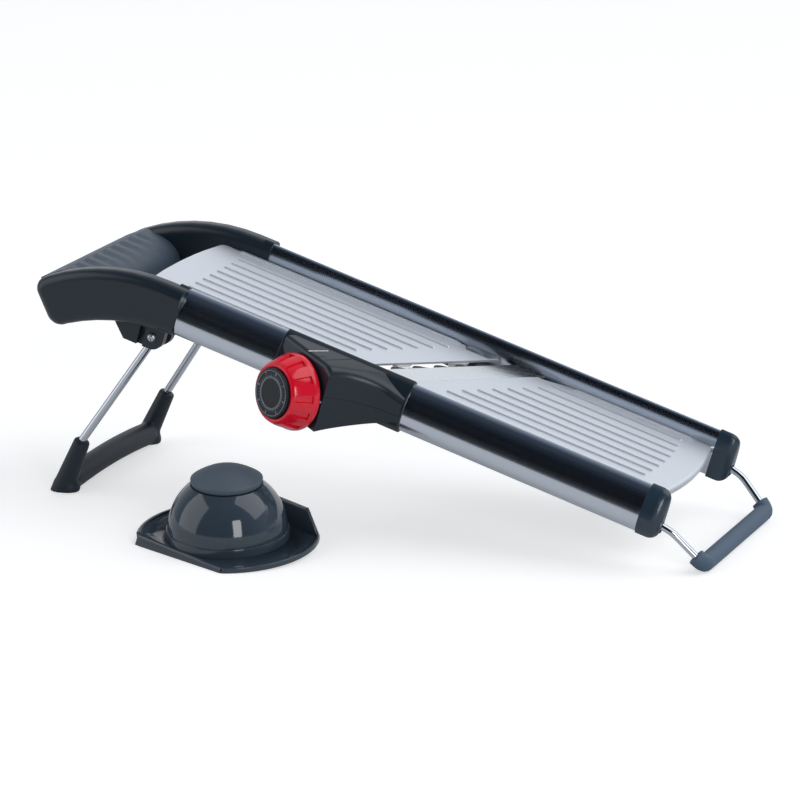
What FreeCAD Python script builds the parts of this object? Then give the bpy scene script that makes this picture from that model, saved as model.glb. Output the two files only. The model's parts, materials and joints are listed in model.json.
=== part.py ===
import FreeCAD, Part
import os
from math import acos, atan2, cos, degrees, pi, radians, sin, sqrt, tan

# Mandoline slicer standing on its leg and front bail, with its pusher beside it. Millimetres.
# The slicer is drawn flat first: x runs along the rails from the handle to the bail, y across
# them (near side negative), z is square to the plates with 0 at the underside of the rails.
# It is then tilted onto its leg and bail. The pusher is drawn upright, and leans a little as it stands.

# Rails
rail_length = 275.0
rail_height = 24.5
rail_width = 9.7
rail_crest = 4.9            # crest of the rail, outwards from its inner wall
rail_bulge = 1.3            # swell of the outer face beyond a straight line
rail_wall = 1.2
rail_toe = 1.6              # rounding of the lower outer edge
bay_width = 100.0           # clear width between the rails

# Plates and blades
plate_level = 16.0          # cutting edge and lower plate, above the underside of the rails
plate_gauge = 1.2
plate_side_gap = 1.1
flange_depth = 5.0
flange_setback = 26.0       # side flanges stop this far before the upper plate's edge
blade_skew = 30.0           # blade line, turned from square across the rails
blade_x = 127.6             # cutting edge on the centre line
blade_width = 15.0
blade_gauge = 1.5
bevel_length = 5.0
throat = 7.5                # upper plate's edge to the cutting edge
wave_gauge = 1.2
wave_pitch = 12.0
wave_reach = 3.2            # crest of the wave blade ahead of the cutting edge
wave_heel = 12.0            # back edge of the wave blade behind the cutting edge
bed_start = 5.0
bed_end = 24.0
bed_depth = 7.5
guide_x = 22.0              # pins that guide the upper plate's ears
guide_radius = 2.0
guide_gap = 0.3
guide_head = 3.6
ear_half_length = 8.0
lower_ridges = 10
upper_ridges = 9
ridge_radius = 2.4
ridge_height = 0.7
ridge_margin = 12.0         # ridges start this far behind the blade's heel
ridge_end_margin = 16.0     # ridges stop this far before the upper plate's edge
upper_rear_x = -30.0
upper_rear_round = 10.0
upper_ridge_x = -9.0
lower_front_gap = 0.4       # lower plate's front corners short of the rails' ends
lower_front_bow = 6.2
lower_ridge_gap = 18.0      # lower ridges stop this far before the rails' ends, at the sides
front_lip_depth = 6.0

# Slice setting
slice_max = 7.0
slice_now = 0.5             # setting at rest
knob_turn = 240.0           # degrees of knob for the whole range

# Knob, shaft and housing
knob_skew = 27.5
shaft_lead = 9.04           # shaft's axis ahead of the cutting edge on the centre line
knob_reach = 11.3           # knob's back rim outwards from the near rail
knob_z = 2.5
knob_back_radius = 20.5
knob_front_radius = 15.6
knob_depth = 14.5
knob_rim = 3.0
flute_count = 12
flute_width = 4.6
flute_depth = 1.3
cap_radius = 13.5
cap_height = 0.6
cap_seat = 4.0
shaft_radius = 3.0
running_gap = 0.05
cam_width = 8.0
cam_shares = (-0.08, 0.27)  # where the cams stand, as shares of the bay's width
pad_height = 0.8
cam_gap = 0.05
housing_rear = 16.6         # housing's ends, along the rails from the knob's centre
housing_front = 56.9
housing_waist = 5.0         # hollow of its side, between the knob's face and the sleeve
housing_ramp_gap = 15.0     # underside has risen to the rail this far before the sleeve's end
housing_wall = 1.3
housing_low = -12.0
housing_top = 25.6
housing_half_face = 20.0
housing_parting = 9.0
knob_gap = 1.0              # knob's back rim to the housing's face
bearing_length = 26.0
bearing_reach = 9.0         # far bearing block, inwards from the far rail
bearing_low = -4.5

# Handle and grip
arm_proud = 0.8             # arm's skin over the rail
arm_lip = 3.0               # arm's lap over the end of the rail
arm_sweep = 112.0           # radius of the arms' top and bottom lines, seen from the side
arm_crown_x = -8.0          # where the top line starts to fall
arm_crown_z = 25.4
arm_rear_x = -83.0          # rear corner of the top line, before rounding
arm_foot_x = -65.0          # rear corner of the bottom line, before rounding
arm_corner = 5.4
arm_rounding = 5.0
spigot_length = 12.0
grip_x = -62.5              # middle of the crossbar's oval section
grip_z = -7.5
grip_half_width = 16.8
grip_half_height = 13.0
grip_thickness = 2.2
grip_slant = 1.5
shelf_depth = 10.4
shelf_length = 36.0
shelf_top = -0.5
shelf_bottom = -4.2

# Leg and its brackets
pivot_x = -11.5
pivot_z = -9.4
pivot_inset = 4.8           # middle of the leg's eye, inwards from the rail
pivot_radius = 2.0
eye_radius = 4.6
eye_width = 5.8
cheek_gap = 0.3
cheek_thickness = 4.0
bracket_rear = -34.0
bracket_low = -16.4
boss_radius = 6.8
screw_head_radius = 4.0
screw_head_height = 2.2
leg_lean = 18.2             # degrees back from square to the plates
leg_splay = 5.5             # degrees outwards
leg_wire_radius = 2.2
socket_start = 75.0         # along the leg from the pivot
socket_radius = 4.6
foot_lean = 9.5             # rubber below the socket, degrees back
foot_splay = -4.0           # degrees outwards
foot_radius = 6.2
foot_thickness = 11.0       # bar between the feet, along the rails
foot_bar_low = 8.0          # bar's underside at the feet, along the foot from the floor
foot_bar_high = 21.0
arch_rise = 3.0
wire_depth = 20.0           # wire's length inside its socket
stand_tilt = 16.4           # slope of the plates

# End caps and bail
cap_length = 11.8
cap_skin = 0.8
cap_rounding = 3.4
bail_pivot_ahead = 6.0      # bail's places, along the rails from their front ends
bail_pivot_z = 6.8
bail_radius = 1.9
bail_knee_ahead = 17.0
bail_knee_z = 6.0
bail_front_ahead = 37.2
bail_front_z = -5.9
bail_bend = 6.0
sleeve_radius = 4.8
sleeve_flat = 0.25          # depth of the flat that rests on the floor
sleeve_return = 9.0         # sleeve's length round each corner

# Pusher
pusher_x = 54.1
pusher_y = -103.1
pusher_turn = -24.0
pusher_lean = 4.5           # it leans down to its near right corner
pusher_lean_way = -50.0
hood_radius = 31.6
hood_centre = 9.2           # centre of the dome above the floor
hood_top = 34.4             # flat under the palm disc
hood_wall = 2.2
hood_ring_radius = 32.4
hood_ring_height = 4.5
hood_base = 5.6             # brim's top above the floor
brim_half_length = 47.0
brim_half_width = 32.4
brim_thickness = 1.8
brim_rim = 1.6
brim_rise = 0.8
skirt_drop = 8.0            # lip and wall, before the floor cuts them off
far_wall_height = 20.0
far_wall_half = 26.0
wall_thickness = 2.2
disc_radius = 18.8
disc_rim = 2.4
disc_crown = 7.4
disc_gap = 0.3
stem_radius = 7.0
stem_gap = 0.3
prong_plate_radius = 20.0
prong_plate_thickness = 2.5
prong_radius = 1.0
prong_length = 9.0
prong_count = 8
prong_circle = 14.0
prong_clearance = 2.0       # tips above the floor

V = FreeCAD.Vector
half_bay = bay_width / 2
skew = radians(blade_skew)
ridge_pitch = bay_width / (lower_ridges + 1)
lower_front_x = rail_length - lower_front_gap
lower_ridge_x = rail_length - lower_ridge_gap
knob_y = -(half_bay + rail_width + knob_reach)
knob_x = blade_x - shaft_lead + knob_y * tan(radians(knob_skew))
cam_y = [share * bay_width for share in cam_shares]
housing_x0 = knob_x - housing_rear
housing_x1 = knob_x + housing_front
pivot_y = half_bay - pivot_inset
bail_pivot_x = rail_length + bail_pivot_ahead
bail_knee_x = rail_length + bail_knee_ahead
bail_front_x = rail_length + bail_front_ahead
bail_front_half = half_bay
big = 400.0                 # larger than any piece, for half-space cuts


def wire_of(*edges):
    return Part.Wire([edge.toShape() for edge in edges])


def line(a, b):
    return Part.LineSegment(a, b)


def arc(a, middle, b):
    return Part.Arc(a, middle, b)


def curve(points):
    spline = Part.BSplineCurve()
    spline.interpolate(points)
    return spline


def prism(wire, direction):
    return Part.Face(wire).extrude(direction)


def polygon_prism(points, direction):
    return prism(Part.makePolygon(points + points[:1]), direction)


def block(x0, x1, y0, y1, z0, z1):
    return Part.makeBox(x1 - x0, y1 - y0, z1 - z0, V(x0, y0, z0))


def rod(a, b, radius):
    return Part.makeCylinder(radius, (b - a).Length, a, b - a)


def other_side(shape):
    return shape.mirror(V(0, 0, 0), V(0, 1, 0))


def joined(shapes):
    return shapes[0].fuse(shapes[1:]).removeSplitter()


def blade_point(across, behind, z):
    """Point on a line parallel to the cutting edge, 'behind' it, at y = across."""
    return V(blade_x + across * tan(skew) + behind / cos(skew), across, z)


def bent_path(points, bend):
    """Straight runs with a tangent arc at each inner point."""
    edges = []
    start = points[0]
    for before, corner, after in zip(points, points[1:], points[2:]):
        back = (before - corner).normalize()
        ahead = (after - corner).normalize()
        half_turn = acos(back.dot(ahead)) / 2
        tangent = bend / tan(half_turn)
        first = corner + back * tangent
        last = corner + ahead * tangent
        bisector = (back + ahead).normalize()
        middle = corner + bisector * (bend / sin(half_turn) - bend)
        edges += [line(start, first), arc(first, middle, last)]
        start = last
    return edges + [line(start, points[-1])]


def bent_rod(points, bend, radius):
    path = wire_of(*bent_path(points, bend))
    ring = Part.Wire([Part.makeCircle(radius, points[0], points[1] - points[0])])
    return path.makePipeShell([ring], True, False)


# Rails: D-shaped polished tubes

def rail_section(x, grow):
    """Outline of the far rail, grown outwards, as a wire across the rail."""
    inner = half_bay - grow
    outer = half_bay + rail_width + grow
    low = -grow
    high = rail_height + grow
    crest = half_bay + rail_crest
    shoulder = V(x, crest + rail_toe, high - rail_toe / 4)
    toe_in = V(x, outer - rail_toe, low)
    toe_out = V(x, outer, low + rail_toe)
    toe_middle = V(x, outer - rail_toe * (1 - sqrt(0.5)), low + rail_toe * (1 - sqrt(0.5)))
    swell = (toe_out + shoulder) * 0.5 + V(0, rail_bulge, 0)
    edge = V(x, inner, high - rail_toe)
    return wire_of(
        line(V(x, inner, low), toe_in),
        arc(toe_in, toe_middle, toe_out),
        arc(toe_out, swell, shoulder),
        arc(shoulder, V(x, crest, high), edge),
        line(edge, V(x, inner, low)))


def rail_bar(x0, x1, grow):
    return prism(rail_section(x0, grow), V(x1 - x0, 0, 0))


def far_rail():
    tube = rail_bar(0, rail_length, 0).cut(rail_bar(0, rail_length, -rail_wall))
    return tube.cut([guide_pin(1), bearing_screw()])


def near_rail():
    tube = other_side(rail_bar(0, rail_length, 0).cut(rail_bar(0, rail_length, -rail_wall)))
    return tube.cut([guide_pin(-1), knob_cylinder(-big, knob_depth, shaft_radius + 2)])


# Knob axis: a line under the upper plate's edge, leaning towards the handle

knob_out = V(-sin(radians(knob_skew)), -cos(radians(knob_skew)), 0)
knob_side = V(cos(radians(knob_skew)), -sin(radians(knob_skew)), 0)
knob_back = V(knob_x, knob_y, knob_z)


def knob_point(out, side=0.0, up=0.0):
    return knob_back + knob_out * out + knob_side * side + V(0, 0, up)


def knob_cylinder(out0, out1, radius):
    return rod(knob_point(out0), knob_point(out1), radius)


def axis_out(y):
    """Place along the knob axis where it crosses this y."""
    return (y - knob_y) / knob_out.y


# Plates

upper_level = plate_level - slice_now
upper_half = half_bay - plate_side_gap


def ridges(count, level, x_start, x_end):
    """Pressed ridges along the feed, between two limits that depend on y."""
    bars = []
    for index in range(count):
        y = (index - (count - 1) / 2) * ridge_pitch
        z = level + ridge_height - ridge_radius
        start = V(x_start(y), y, z)
        end = V(x_end(y), y, z)
        bar = joined([rod(start, end, ridge_radius),
                      Part.makeSphere(ridge_radius, start), Part.makeSphere(ridge_radius, end)])
        bars.append(bar.common(block(-big, big, -big, big, level - plate_gauge / 2, big)))
    return bars


def front_x(y):
    """Bowed front of the lower plate."""
    return lower_front_x + lower_front_bow * (1 - (y / half_bay) ** 2)


def lower_outline():
    near = blade_point(-half_bay, blade_width, plate_level)
    far = blade_point(half_bay, blade_width, plate_level)
    near_front = V(lower_front_x, -half_bay, plate_level)
    far_front = V(lower_front_x, half_bay, plate_level)
    nose = V(front_x(0), 0, plate_level)
    return wire_of(line(near, far), line(far, far_front),
                   arc(far_front, nose, near_front), line(near_front, near))


def lower_plate():
    outline = lower_outline()
    sheet = prism(outline, V(0, 0, -plate_gauge))
    lip = prism(outline, V(0, 0, -front_lip_depth))
    behind = lip.copy()
    behind.translate(V(-plate_gauge, 0, 0))
    flange = block(blade_point(half_bay, bed_end, 0).x, lower_front_x, half_bay - plate_gauge,
                   half_bay, plate_level - flange_depth, plate_level)
    near_flange = other_side(flange)
    bars = ridges(lower_ridges, plate_level,
                  lambda y: blade_point(y, blade_width + ridge_margin, 0).x,
                  lambda y: lower_ridge_x + front_x(y) - lower_front_x)
    return joined([sheet, lip.cut(behind), flange, near_flange] + bars)


def upper_outline():
    level = upper_level
    near = blade_point(-upper_half, -throat, level)
    far = blade_point(upper_half, -throat, level)
    r = upper_rear_round
    rear = upper_rear_x
    nip = r * (1 - sqrt(0.5))
    return wire_of(
        line(near, far),
        line(far, V(rear + r, upper_half, level)),
        arc(V(rear + r, upper_half, level), V(rear + nip, upper_half - nip, level),
            V(rear, upper_half - r, level)),
        line(V(rear, upper_half - r, level), V(rear, r - upper_half, level)),
        arc(V(rear, r - upper_half, level), V(rear + nip, nip - upper_half, level),
            V(rear + r, -upper_half, level)),
        line(V(rear + r, -upper_half, level), near))


# Ears of the upper plate: slotted tabs that slide up and down on the guide pins

guide_z = upper_level - plate_gauge - slice_max + slice_now - guide_head - guide_gap
ear_bottom = guide_z - slice_now - 2 * guide_radius - guide_gap


def guide_pin(side):
    wall = V(guide_x, side * (half_bay + rail_wall), guide_z)
    head = V(guide_x, side * (upper_half - plate_gauge - guide_gap), guide_z)
    tip = V(guide_x, side * (upper_half - plate_gauge - guide_gap - guide_radius), guide_z)
    return joined([rod(wall, head, guide_radius), rod(head, tip, guide_head)])


def guide_slot(side):
    """Room for the pin over the whole slice range."""
    low = guide_z - slice_now - guide_gap
    high = guide_z + slice_max - slice_now + guide_gap
    r = guide_radius + guide_gap
    y0, y1 = sorted((side * (upper_half - 2 * plate_gauge), side * half_bay))
    return joined([rod(V(guide_x, y0, low), V(guide_x, y1, low), r),
                   rod(V(guide_x, y0, high), V(guide_x, y1, high), r),
                   block(guide_x - r, guide_x + r, y0, y1, low, high)])


def upper_plate():
    sheet = prism(upper_outline(), V(0, 0, -plate_gauge))
    flange_start = upper_rear_x + upper_rear_round
    near_end = blade_point(-upper_half, -throat, 0).x - flange_setback
    far_end = blade_point(upper_half, -throat, 0).x - flange_setback
    inner = upper_half - plate_gauge
    far_flange = block(flange_start, far_end, inner, upper_half,
                       upper_level - flange_depth, upper_level)
    near_flange = block(flange_start, near_end, -upper_half, -inner,
                        upper_level - flange_depth, upper_level)
    ears = [block(guide_x - ear_half_length, guide_x + ear_half_length,
                  y0, y0 + plate_gauge, ear_bottom, upper_level) for y0 in (-upper_half, inner)]
    bars = ridges(upper_ridges, upper_level,
                  lambda y: upper_ridge_x,
                  lambda y: blade_point(y, -throat - ridge_end_margin, 0).x)
    whole = joined([sheet, far_flange, near_flange] + ears + bars)
    return whole.cut([guide_slot(1), guide_slot(-1)])


# Blades and their bed

def blade_bar(profile, across):
    """Bar along the blade line from (behind, z) points, cut square to the rails at 'across'."""
    points = [blade_point(-across, behind, z) for behind, z in profile]
    return polygon_prism(points, blade_point(across, 0, 0) - blade_point(-across, 0, 0))


bed_top = plate_level - blade_gauge - wave_gauge
bed_bottom = bed_top - bed_depth
blade_screw_behind = (bed_start + wave_heel) / 2
blade_screw_radius = 1.5
blade_screw_head = 2.9
blade_screw_bite = 0.8
blade_screw_y = [share * bay_width for share in (-0.32, 0, 0.32)]


def slicing_blade():
    top = plate_level
    under = plate_level - blade_gauge
    bar = blade_bar([(0, top), (blade_width, top), (blade_width, under), (bevel_length, under)],
                    half_bay)
    return bar.cut(blade_screws())


def wave_crest(along):
    """How far the scalloped edge stands ahead of its hollows."""
    return wave_reach * (1 + cos(2 * pi * along / wave_pitch)) / 2


def wave_blade():
    under = bed_top
    length = 2 * upper_half / cos(skew)
    count = int(length // wave_pitch)
    step = wave_pitch / 4
    marks = [i * step for i in range(-2 * count, 2 * count + 1)]
    edge = [blade_point(s * cos(skew), -wave_crest(s), under) for s in marks]
    heel = [blade_point(s * cos(skew), wave_heel, under) for s in (marks[-1], marks[0])]
    outline = wire_of(curve(edge), line(edge[-1], heel[0]), line(heel[0], heel[1]),
                      line(heel[1], edge[0]))
    return prism(outline, V(0, 0, wave_gauge)).cut(blade_screws())


def blade_bed():
    under_plate = plate_level - plate_gauge
    under_blade = plate_level - blade_gauge
    profile = [(bed_start, bed_bottom), (bed_end, bed_bottom), (bed_end, under_plate),
               (blade_width, under_plate), (blade_width, under_blade), (wave_heel, under_blade),
               (wave_heel, bed_top), (bed_start, bed_top)]
    return blade_bar(profile, half_bay).cut(blade_screws())


def blade_screws():
    screws = []
    for y in blade_screw_y:
        head = blade_point(y, blade_screw_behind, bed_bottom - blade_screw_radius)
        seat = blade_point(y, blade_screw_behind, bed_bottom)
        tip = blade_point(y, blade_screw_behind, plate_level - blade_gauge + blade_screw_bite)
        screws.append(joined([rod(head, seat, blade_screw_head),
                              rod(head, tip, blade_screw_radius)]))
    return Part.makeCompound(screws)


# Knob, cap, shaft and cams

def knob_profile_solid():
    """Turned body of the knob: a rim, then a swelling cone to the front."""
    lean = knob_back_radius - knob_front_radius
    middle = (knob_rim + knob_depth) / 2
    outline = wire_of(
        line(V(0, 0, 0), V(knob_back_radius, 0, 0)),
        line(V(knob_back_radius, 0, 0), V(knob_back_radius, 0, knob_rim)),
        arc(V(knob_back_radius, 0, knob_rim),
            V(knob_back_radius - lean * 0.38, 0, middle),
            V(knob_front_radius, 0, knob_depth)),
        line(V(knob_front_radius, 0, knob_depth), V(0, 0, knob_depth)),
        line(V(0, 0, knob_depth), V(0, 0, 0)))
    return Part.Face(outline).revolve(V(0, 0, 0), V(0, 0, 1), 360)


def on_knob_axis(shape):
    """Moves a shape drawn on +Z to the knob axis, its foot at the back rim."""
    turn = FreeCAD.Rotation(V(0, 0, 1), knob_out)
    moved = shape.copy()
    moved.Placement = FreeCAD.Placement(knob_back, turn).multiply(moved.Placement)
    return moved


def knob():
    body = knob_profile_solid()
    lean = atan2(knob_back_radius - knob_front_radius, knob_depth - knob_rim)
    cuts = []
    for index in range(flute_count):
        flute = block(-flute_depth, big, -flute_width / 2, flute_width / 2, knob_rim, knob_depth)
        flute.rotate(V(0, 0, knob_rim), V(0, 1, 0), -degrees(lean))
        flute.translate(V(knob_back_radius, 0, 0))
        flute.rotate(V(0, 0, 0), V(0, 0, 1), index * 360.0 / flute_count)
        cuts.append(flute)
    seat = Part.makeCylinder(cap_radius, cap_seat, V(0, 0, knob_depth - cap_seat))
    bore = Part.makeCylinder(shaft_radius, knob_depth)
    return on_knob_axis(body.cut(cuts + [seat, bore, knob_screw_shape()]))


def knob_screw_shape():
    """Screw under the cap that pulls the knob onto its shaft, on +Z."""
    floor = knob_depth - cap_seat
    head = Part.makeCylinder(screw_head_radius, screw_head_height, V(0, 0, floor - screw_head_height))
    shank = Part.makeCylinder(pivot_radius / 2, knob_depth / 2, V(0, 0, floor - knob_depth / 2))
    return joined([head, shank])


def knob_screw():
    return on_knob_axis(knob_screw_shape())


def knob_cap():
    cap = Part.makeCylinder(cap_radius, cap_seat + cap_height, V(0, 0, knob_depth - cap_seat))
    rim = [edge for edge in cap.Edges if abs(edge.CenterOfMass.z - knob_depth - cap_height) < 0.01
           and len(edge.Vertexes) == 1]
    return on_knob_axis(cap.makeFillet(cap_height / 3, rim))


shaft_front = knob_depth - cap_seat - screw_head_height
shaft_back = axis_out(half_bay - bearing_reach / 3)


def cam_shaft():
    shaft = knob_cylinder(shaft_back, shaft_front, shaft_radius)
    return shaft.cut(knob_screw())


# Lift cams: involutes, so that the plate rises in step with the knob's angle

lift_rate = slice_max / radians(knob_turn)
pad_face = upper_level - plate_gauge - pad_height
lift_now = pad_face - knob_z - cam_gap
lift_top = lift_now + slice_now
cam_back_radius = lift_top - slice_max


def lift_cam(y):
    """One cam: its involute flank meets the pad, its back is round."""
    steps = 16
    span = slice_max / lift_rate
    centre = knob_point(axis_out(y))

    def flank(share):
        turn = share * span
        reach = cam_back_radius + lift_rate * turn
        angle = pi / 2 + turn - (lift_now - cam_back_radius) / lift_rate
        side = reach * cos(angle) - lift_rate * sin(angle)
        up = reach * sin(angle) + lift_rate * cos(angle)
        return centre + knob_side * side + V(0, 0, up)

    points = [flank(i / steps) for i in range(steps + 1)]
    outline = wire_of(curve(points), line(points[-1], centre), line(centre, points[0]))
    lobe = prism(outline, knob_out * cam_width)
    hub = rod(centre, centre + knob_out * cam_width, cam_back_radius)
    whole = joined([lobe, hub])
    whole.translate(knob_out * (-cam_width / 2))
    return whole.cut(cam_shaft())


def lift_cams():
    return Part.makeCompound([lift_cam(y) for y in cam_y])


def cam_pads():
    pads = []
    for y in cam_y:
        centre = knob_point(axis_out(y))
        low = V(centre.x, centre.y, pad_face)
        half = cam_width / 2 + 1
        corners = [low + knob_side * side + knob_out * out
                   for side, out in ((-half - 1, -half), (half, -half), (half, half), (-half - 1, half))]
        pad = polygon_prism(corners, V(0, 0, pad_height))
        edge = blade_bar([(-throat, -big), (big, -big), (big, big), (-throat, big)], half_bay)
        pads.append(pad.cut(edge))
    return Part.makeCompound(pads)


# Housing: two moulded shells round the near rail, with a flat face square to the knob

def housing():
    face = -knob_gap
    left = knob_point(face, -housing_half_face)
    right = knob_point(face, housing_half_face)
    rail_face = -(half_bay + rail_width)
    end = V(housing_x1 - housing_wall, rail_face, knob_z)
    waist = (right + end) * 0.5 + V(0, housing_waist, 0)
    inside = -(half_bay + rail_crest)
    outline = wire_of(
        line(left, right),
        arc(right, waist, end),
        line(end, V(end.x, inside, knob_z)),
        line(V(end.x, inside, knob_z), V(housing_x0, inside, knob_z)),
        line(V(housing_x0, inside, knob_z), left))
    boss = prism(outline, V(0, 0, housing_top - housing_low))
    boss.translate(V(0, 0, housing_low - knob_z))
    ramp_end = housing_x1 - housing_ramp_gap
    wedge = polygon_prism([V(right.x, -big, housing_low), V(housing_x1, -big, housing_low),
                           V(housing_x1, -big, -housing_wall), V(ramp_end, -big, -housing_wall)],
                          V(0, 2 * big, 0))
    sleeve = other_side(rail_bar(housing_x0, housing_x1, housing_wall))
    whole = joined([boss.cut(wedge), sleeve])
    bay = block(-big, big, -half_bay, big, -big, big)
    rail = other_side(rail_bar(0, rail_length, 0))
    bore = knob_cylinder(-big, big, shaft_radius + running_gap)
    return whole.cut([bay, rail, bore])


def housing_top_shell():
    return housing().common(block(-big, big, -big, big, housing_parting, big))


def housing_bottom_shell():
    return housing().common(block(-big, big, -big, big, -big, housing_parting)).cut(housing_screws())


housing_screw_radius = 1.5
housing_screw_head = 2.8


def housing_screws():
    """Screws from below, beside the shaft's bore, that pull the shells together."""
    screws = []
    for side in (-1, 1):
        base = knob_point(-knob_gap - housing_screw_head - housing_wall, side * housing_half_face / 3)
        low = V(base.x, base.y, housing_low)
        top = V(base.x, base.y, housing_parting)
        head = low + V(0, 0, housing_screw_radius)
        screws.append(joined([rod(low, head, housing_screw_head), rod(low, top, housing_screw_radius)]))
    return Part.makeCompound(screws)


# Far bearing: a dark block on the far rail that takes the end of the shaft

def bearing_centre():
    return knob_point(axis_out(half_bay))


def bearing_block():
    centre = bearing_centre()
    x0 = centre.x - bearing_length / 2
    x1 = centre.x + bearing_length / 2
    top = plate_level - slice_max - plate_gauge - cam_gap
    body = block(x0, x1, half_bay - bearing_reach, half_bay, bearing_low, top)
    bed = blade_bar([(bed_start, -big), (big, -big), (big, big), (bed_start, big)], half_bay)
    bore = knob_cylinder(shaft_back - running_gap, 0, shaft_radius + running_gap)
    return body.cut([bed, bore, bearing_screw()])


def bearing_screw():
    """Screw through the far rail's inner wall into the bearing block."""
    centre = bearing_centre()
    x = centre.x - bearing_length / 3
    z = knob_z
    return rod(V(x, half_bay - bearing_reach / 2, z), V(x, half_bay + rail_wall, z), housing_screw_radius)


# Handle: two arms that curve down to the rear, and a crossbar

arm_inner = half_bay - arm_proud
arm_outer = half_bay + rail_width + arm_proud


def sweep_point(crown_x, crown_z, x, y):
    """Point of an arm's arc, which is level at its crown and falls towards the rear."""
    drop = arm_sweep - sqrt(arm_sweep ** 2 - (x - crown_x) ** 2)
    return V(x, y, crown_z - drop)


def arm_outline(y):
    crown = V(arm_crown_x, y, arm_crown_z)
    top_middle = sweep_point(arm_crown_x, arm_crown_z, (arm_crown_x + arm_rear_x) / 2, y)
    top_rear = sweep_point(arm_crown_x, arm_crown_z, arm_rear_x, y)
    bottom_rear = sweep_point(arm_lip, -arm_proud, arm_foot_x, y)
    bottom_middle = sweep_point(arm_lip, -arm_proud, (arm_lip + arm_foot_x) / 2, y)
    bottom_front = V(arm_lip, y, -arm_proud)
    top_front = V(arm_lip, y, arm_crown_z)
    return wire_of(
        line(top_front, crown),
        arc(crown, top_middle, top_rear),
        line(top_rear, bottom_rear),
        arc(bottom_rear, bottom_middle, bottom_front),
        line(bottom_front, top_front))


def arm_profile(y0, y1):
    """Side profile of an arm between two places across the slicer, its rear corners rounded."""
    body = prism(arm_outline(y0), V(0, y1 - y0, 0))
    corners = [edge for edge in body.Edges if all(v.X < arm_foot_x / 2 for v in edge.Vertexes)
               and abs(edge.Vertexes[0].Y - edge.Vertexes[-1].Y) > arm_lip]
    return body.makeFillet(arm_corner, corners)


def arm():
    body = arm_profile(arm_inner, arm_outer)
    long_edges = [edge for edge in body.Edges
                  if abs(edge.Vertexes[0].Y - edge.Vertexes[-1].Y) < 0.01
                  and min(v.X for v in edge.Vertexes) < 0]
    body = body.makeFillet(arm_rounding, long_edges)
    lip = rail_bar(0, arm_lip, arm_proud)
    shelf = block(-shelf_length, 0, arm_inner - shelf_depth, arm_inner + arm_rounding,
                  shelf_bottom, shelf_top)
    sleeve = joined([body, lip]).cut(rail_bar(0, rail_length, 0))
    return joined([sleeve, rail_bar(-arm_lip, spigot_length, -rail_wall), shelf])


def crossbar(half_length):
    """Bar between the arms: oval in front, and at the rear trimmed to the arms' side profile."""
    y = -half_length
    middle = V(grip_x, y, grip_z)
    oval = Part.Ellipse(middle + V(grip_half_width, 0, 0), middle + V(0, 0, grip_half_height), middle)
    front = prism(wire_of(oval), V(0, 2 * half_length, 0))
    rear = block(-big, grip_x, -half_length, half_length,
                 grip_z - grip_half_height, grip_z + grip_half_height)
    return joined([front, rear]).common(arm_profile(-half_length, half_length))


def crossbar_core(half_length):
    sunk = crossbar(half_length)
    sunk.translate(V(-grip_slant, 0, -grip_thickness))
    return crossbar(half_length).common(sunk)


def handle():
    far = arm()
    core = crossbar_core(arm_inner + arm_rounding)
    return joined([far, other_side(far), core]).cut(leg_pivot_screws())


def grip_pad():
    return crossbar(arm_inner).cut(crossbar_core(arm_inner))


# Leg: brackets, pivot screws, wires and rubber foot

lean = radians(leg_lean)
splay = radians(leg_splay)
leg_down = V(-sin(lean), tan(splay), -cos(lean)).normalize()
leg_pivot = V(pivot_x, pivot_y, pivot_z)
tilt = radians(stand_tilt)
floor_drop = -bail_front_x * sin(tilt) + bail_front_z * cos(tilt) - sleeve_radius + sleeve_flat


def height(point):
    """Height of a point of the flat slicer over the floor, once it is tilted."""
    return -point.x * sin(tilt) + point.z * cos(tilt) - floor_drop


socket_top = leg_pivot + leg_down * socket_start
foot_down = V(-sin(radians(foot_lean)), tan(radians(foot_splay)), -cos(radians(foot_lean))).normalize()
foot_length = height(socket_top) / (height(socket_top) - height(socket_top + foot_down))
toe = socket_top + foot_down * foot_length
cheek_inner = pivot_y - eye_width / 2 - cheek_gap
cheek_outer = pivot_y + eye_width / 2 + cheek_gap


def leg_bracket():
    """A fork: two cheeks round the leg's eye, and a stop behind the wire."""
    y0 = cheek_inner - cheek_thickness
    y1 = cheek_outer + cheek_thickness
    side = polygon_prism(
        [V(bracket_rear, y0, shelf_bottom), V(pivot_x + boss_radius, y0, shelf_bottom),
         V(pivot_x + boss_radius, y0, pivot_z), V(pivot_x, y0, pivot_z - boss_radius),
         V(pivot_x - boss_radius, y0, bracket_low), V(bracket_rear + boss_radius, y0, bracket_low),
         V(bracket_rear, y0, pivot_z)], V(0, y1 - y0, 0))
    boss = rod(V(pivot_x, y0, pivot_z), V(pivot_x, y1, pivot_z), boss_radius)
    along = V(-sin(lean), 0, -cos(lean))
    ahead = V(cos(lean), 0, -sin(lean))
    start = V(pivot_x, cheek_inner, pivot_z) - ahead * (leg_wire_radius + cheek_gap)
    room = polygon_prism(
        [start + along * big, start - along * eye_radius,
         start - along * big + ahead * big, start + along * big + ahead * big],
        V(0, cheek_outer - cheek_inner, 0))
    eye_room = rod(V(pivot_x, cheek_inner, pivot_z), V(pivot_x, cheek_outer, pivot_z),
                   eye_radius + cheek_gap)
    crown = block(-big, big, -big, big, shelf_bottom, big)
    upper_arm = prism(arm_outline(arm_inner), V(0, arm_outer - arm_inner, 0))
    return joined([side, boss]).cut([room, eye_room, crown, upper_arm, leg_pivot_screw()])


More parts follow.
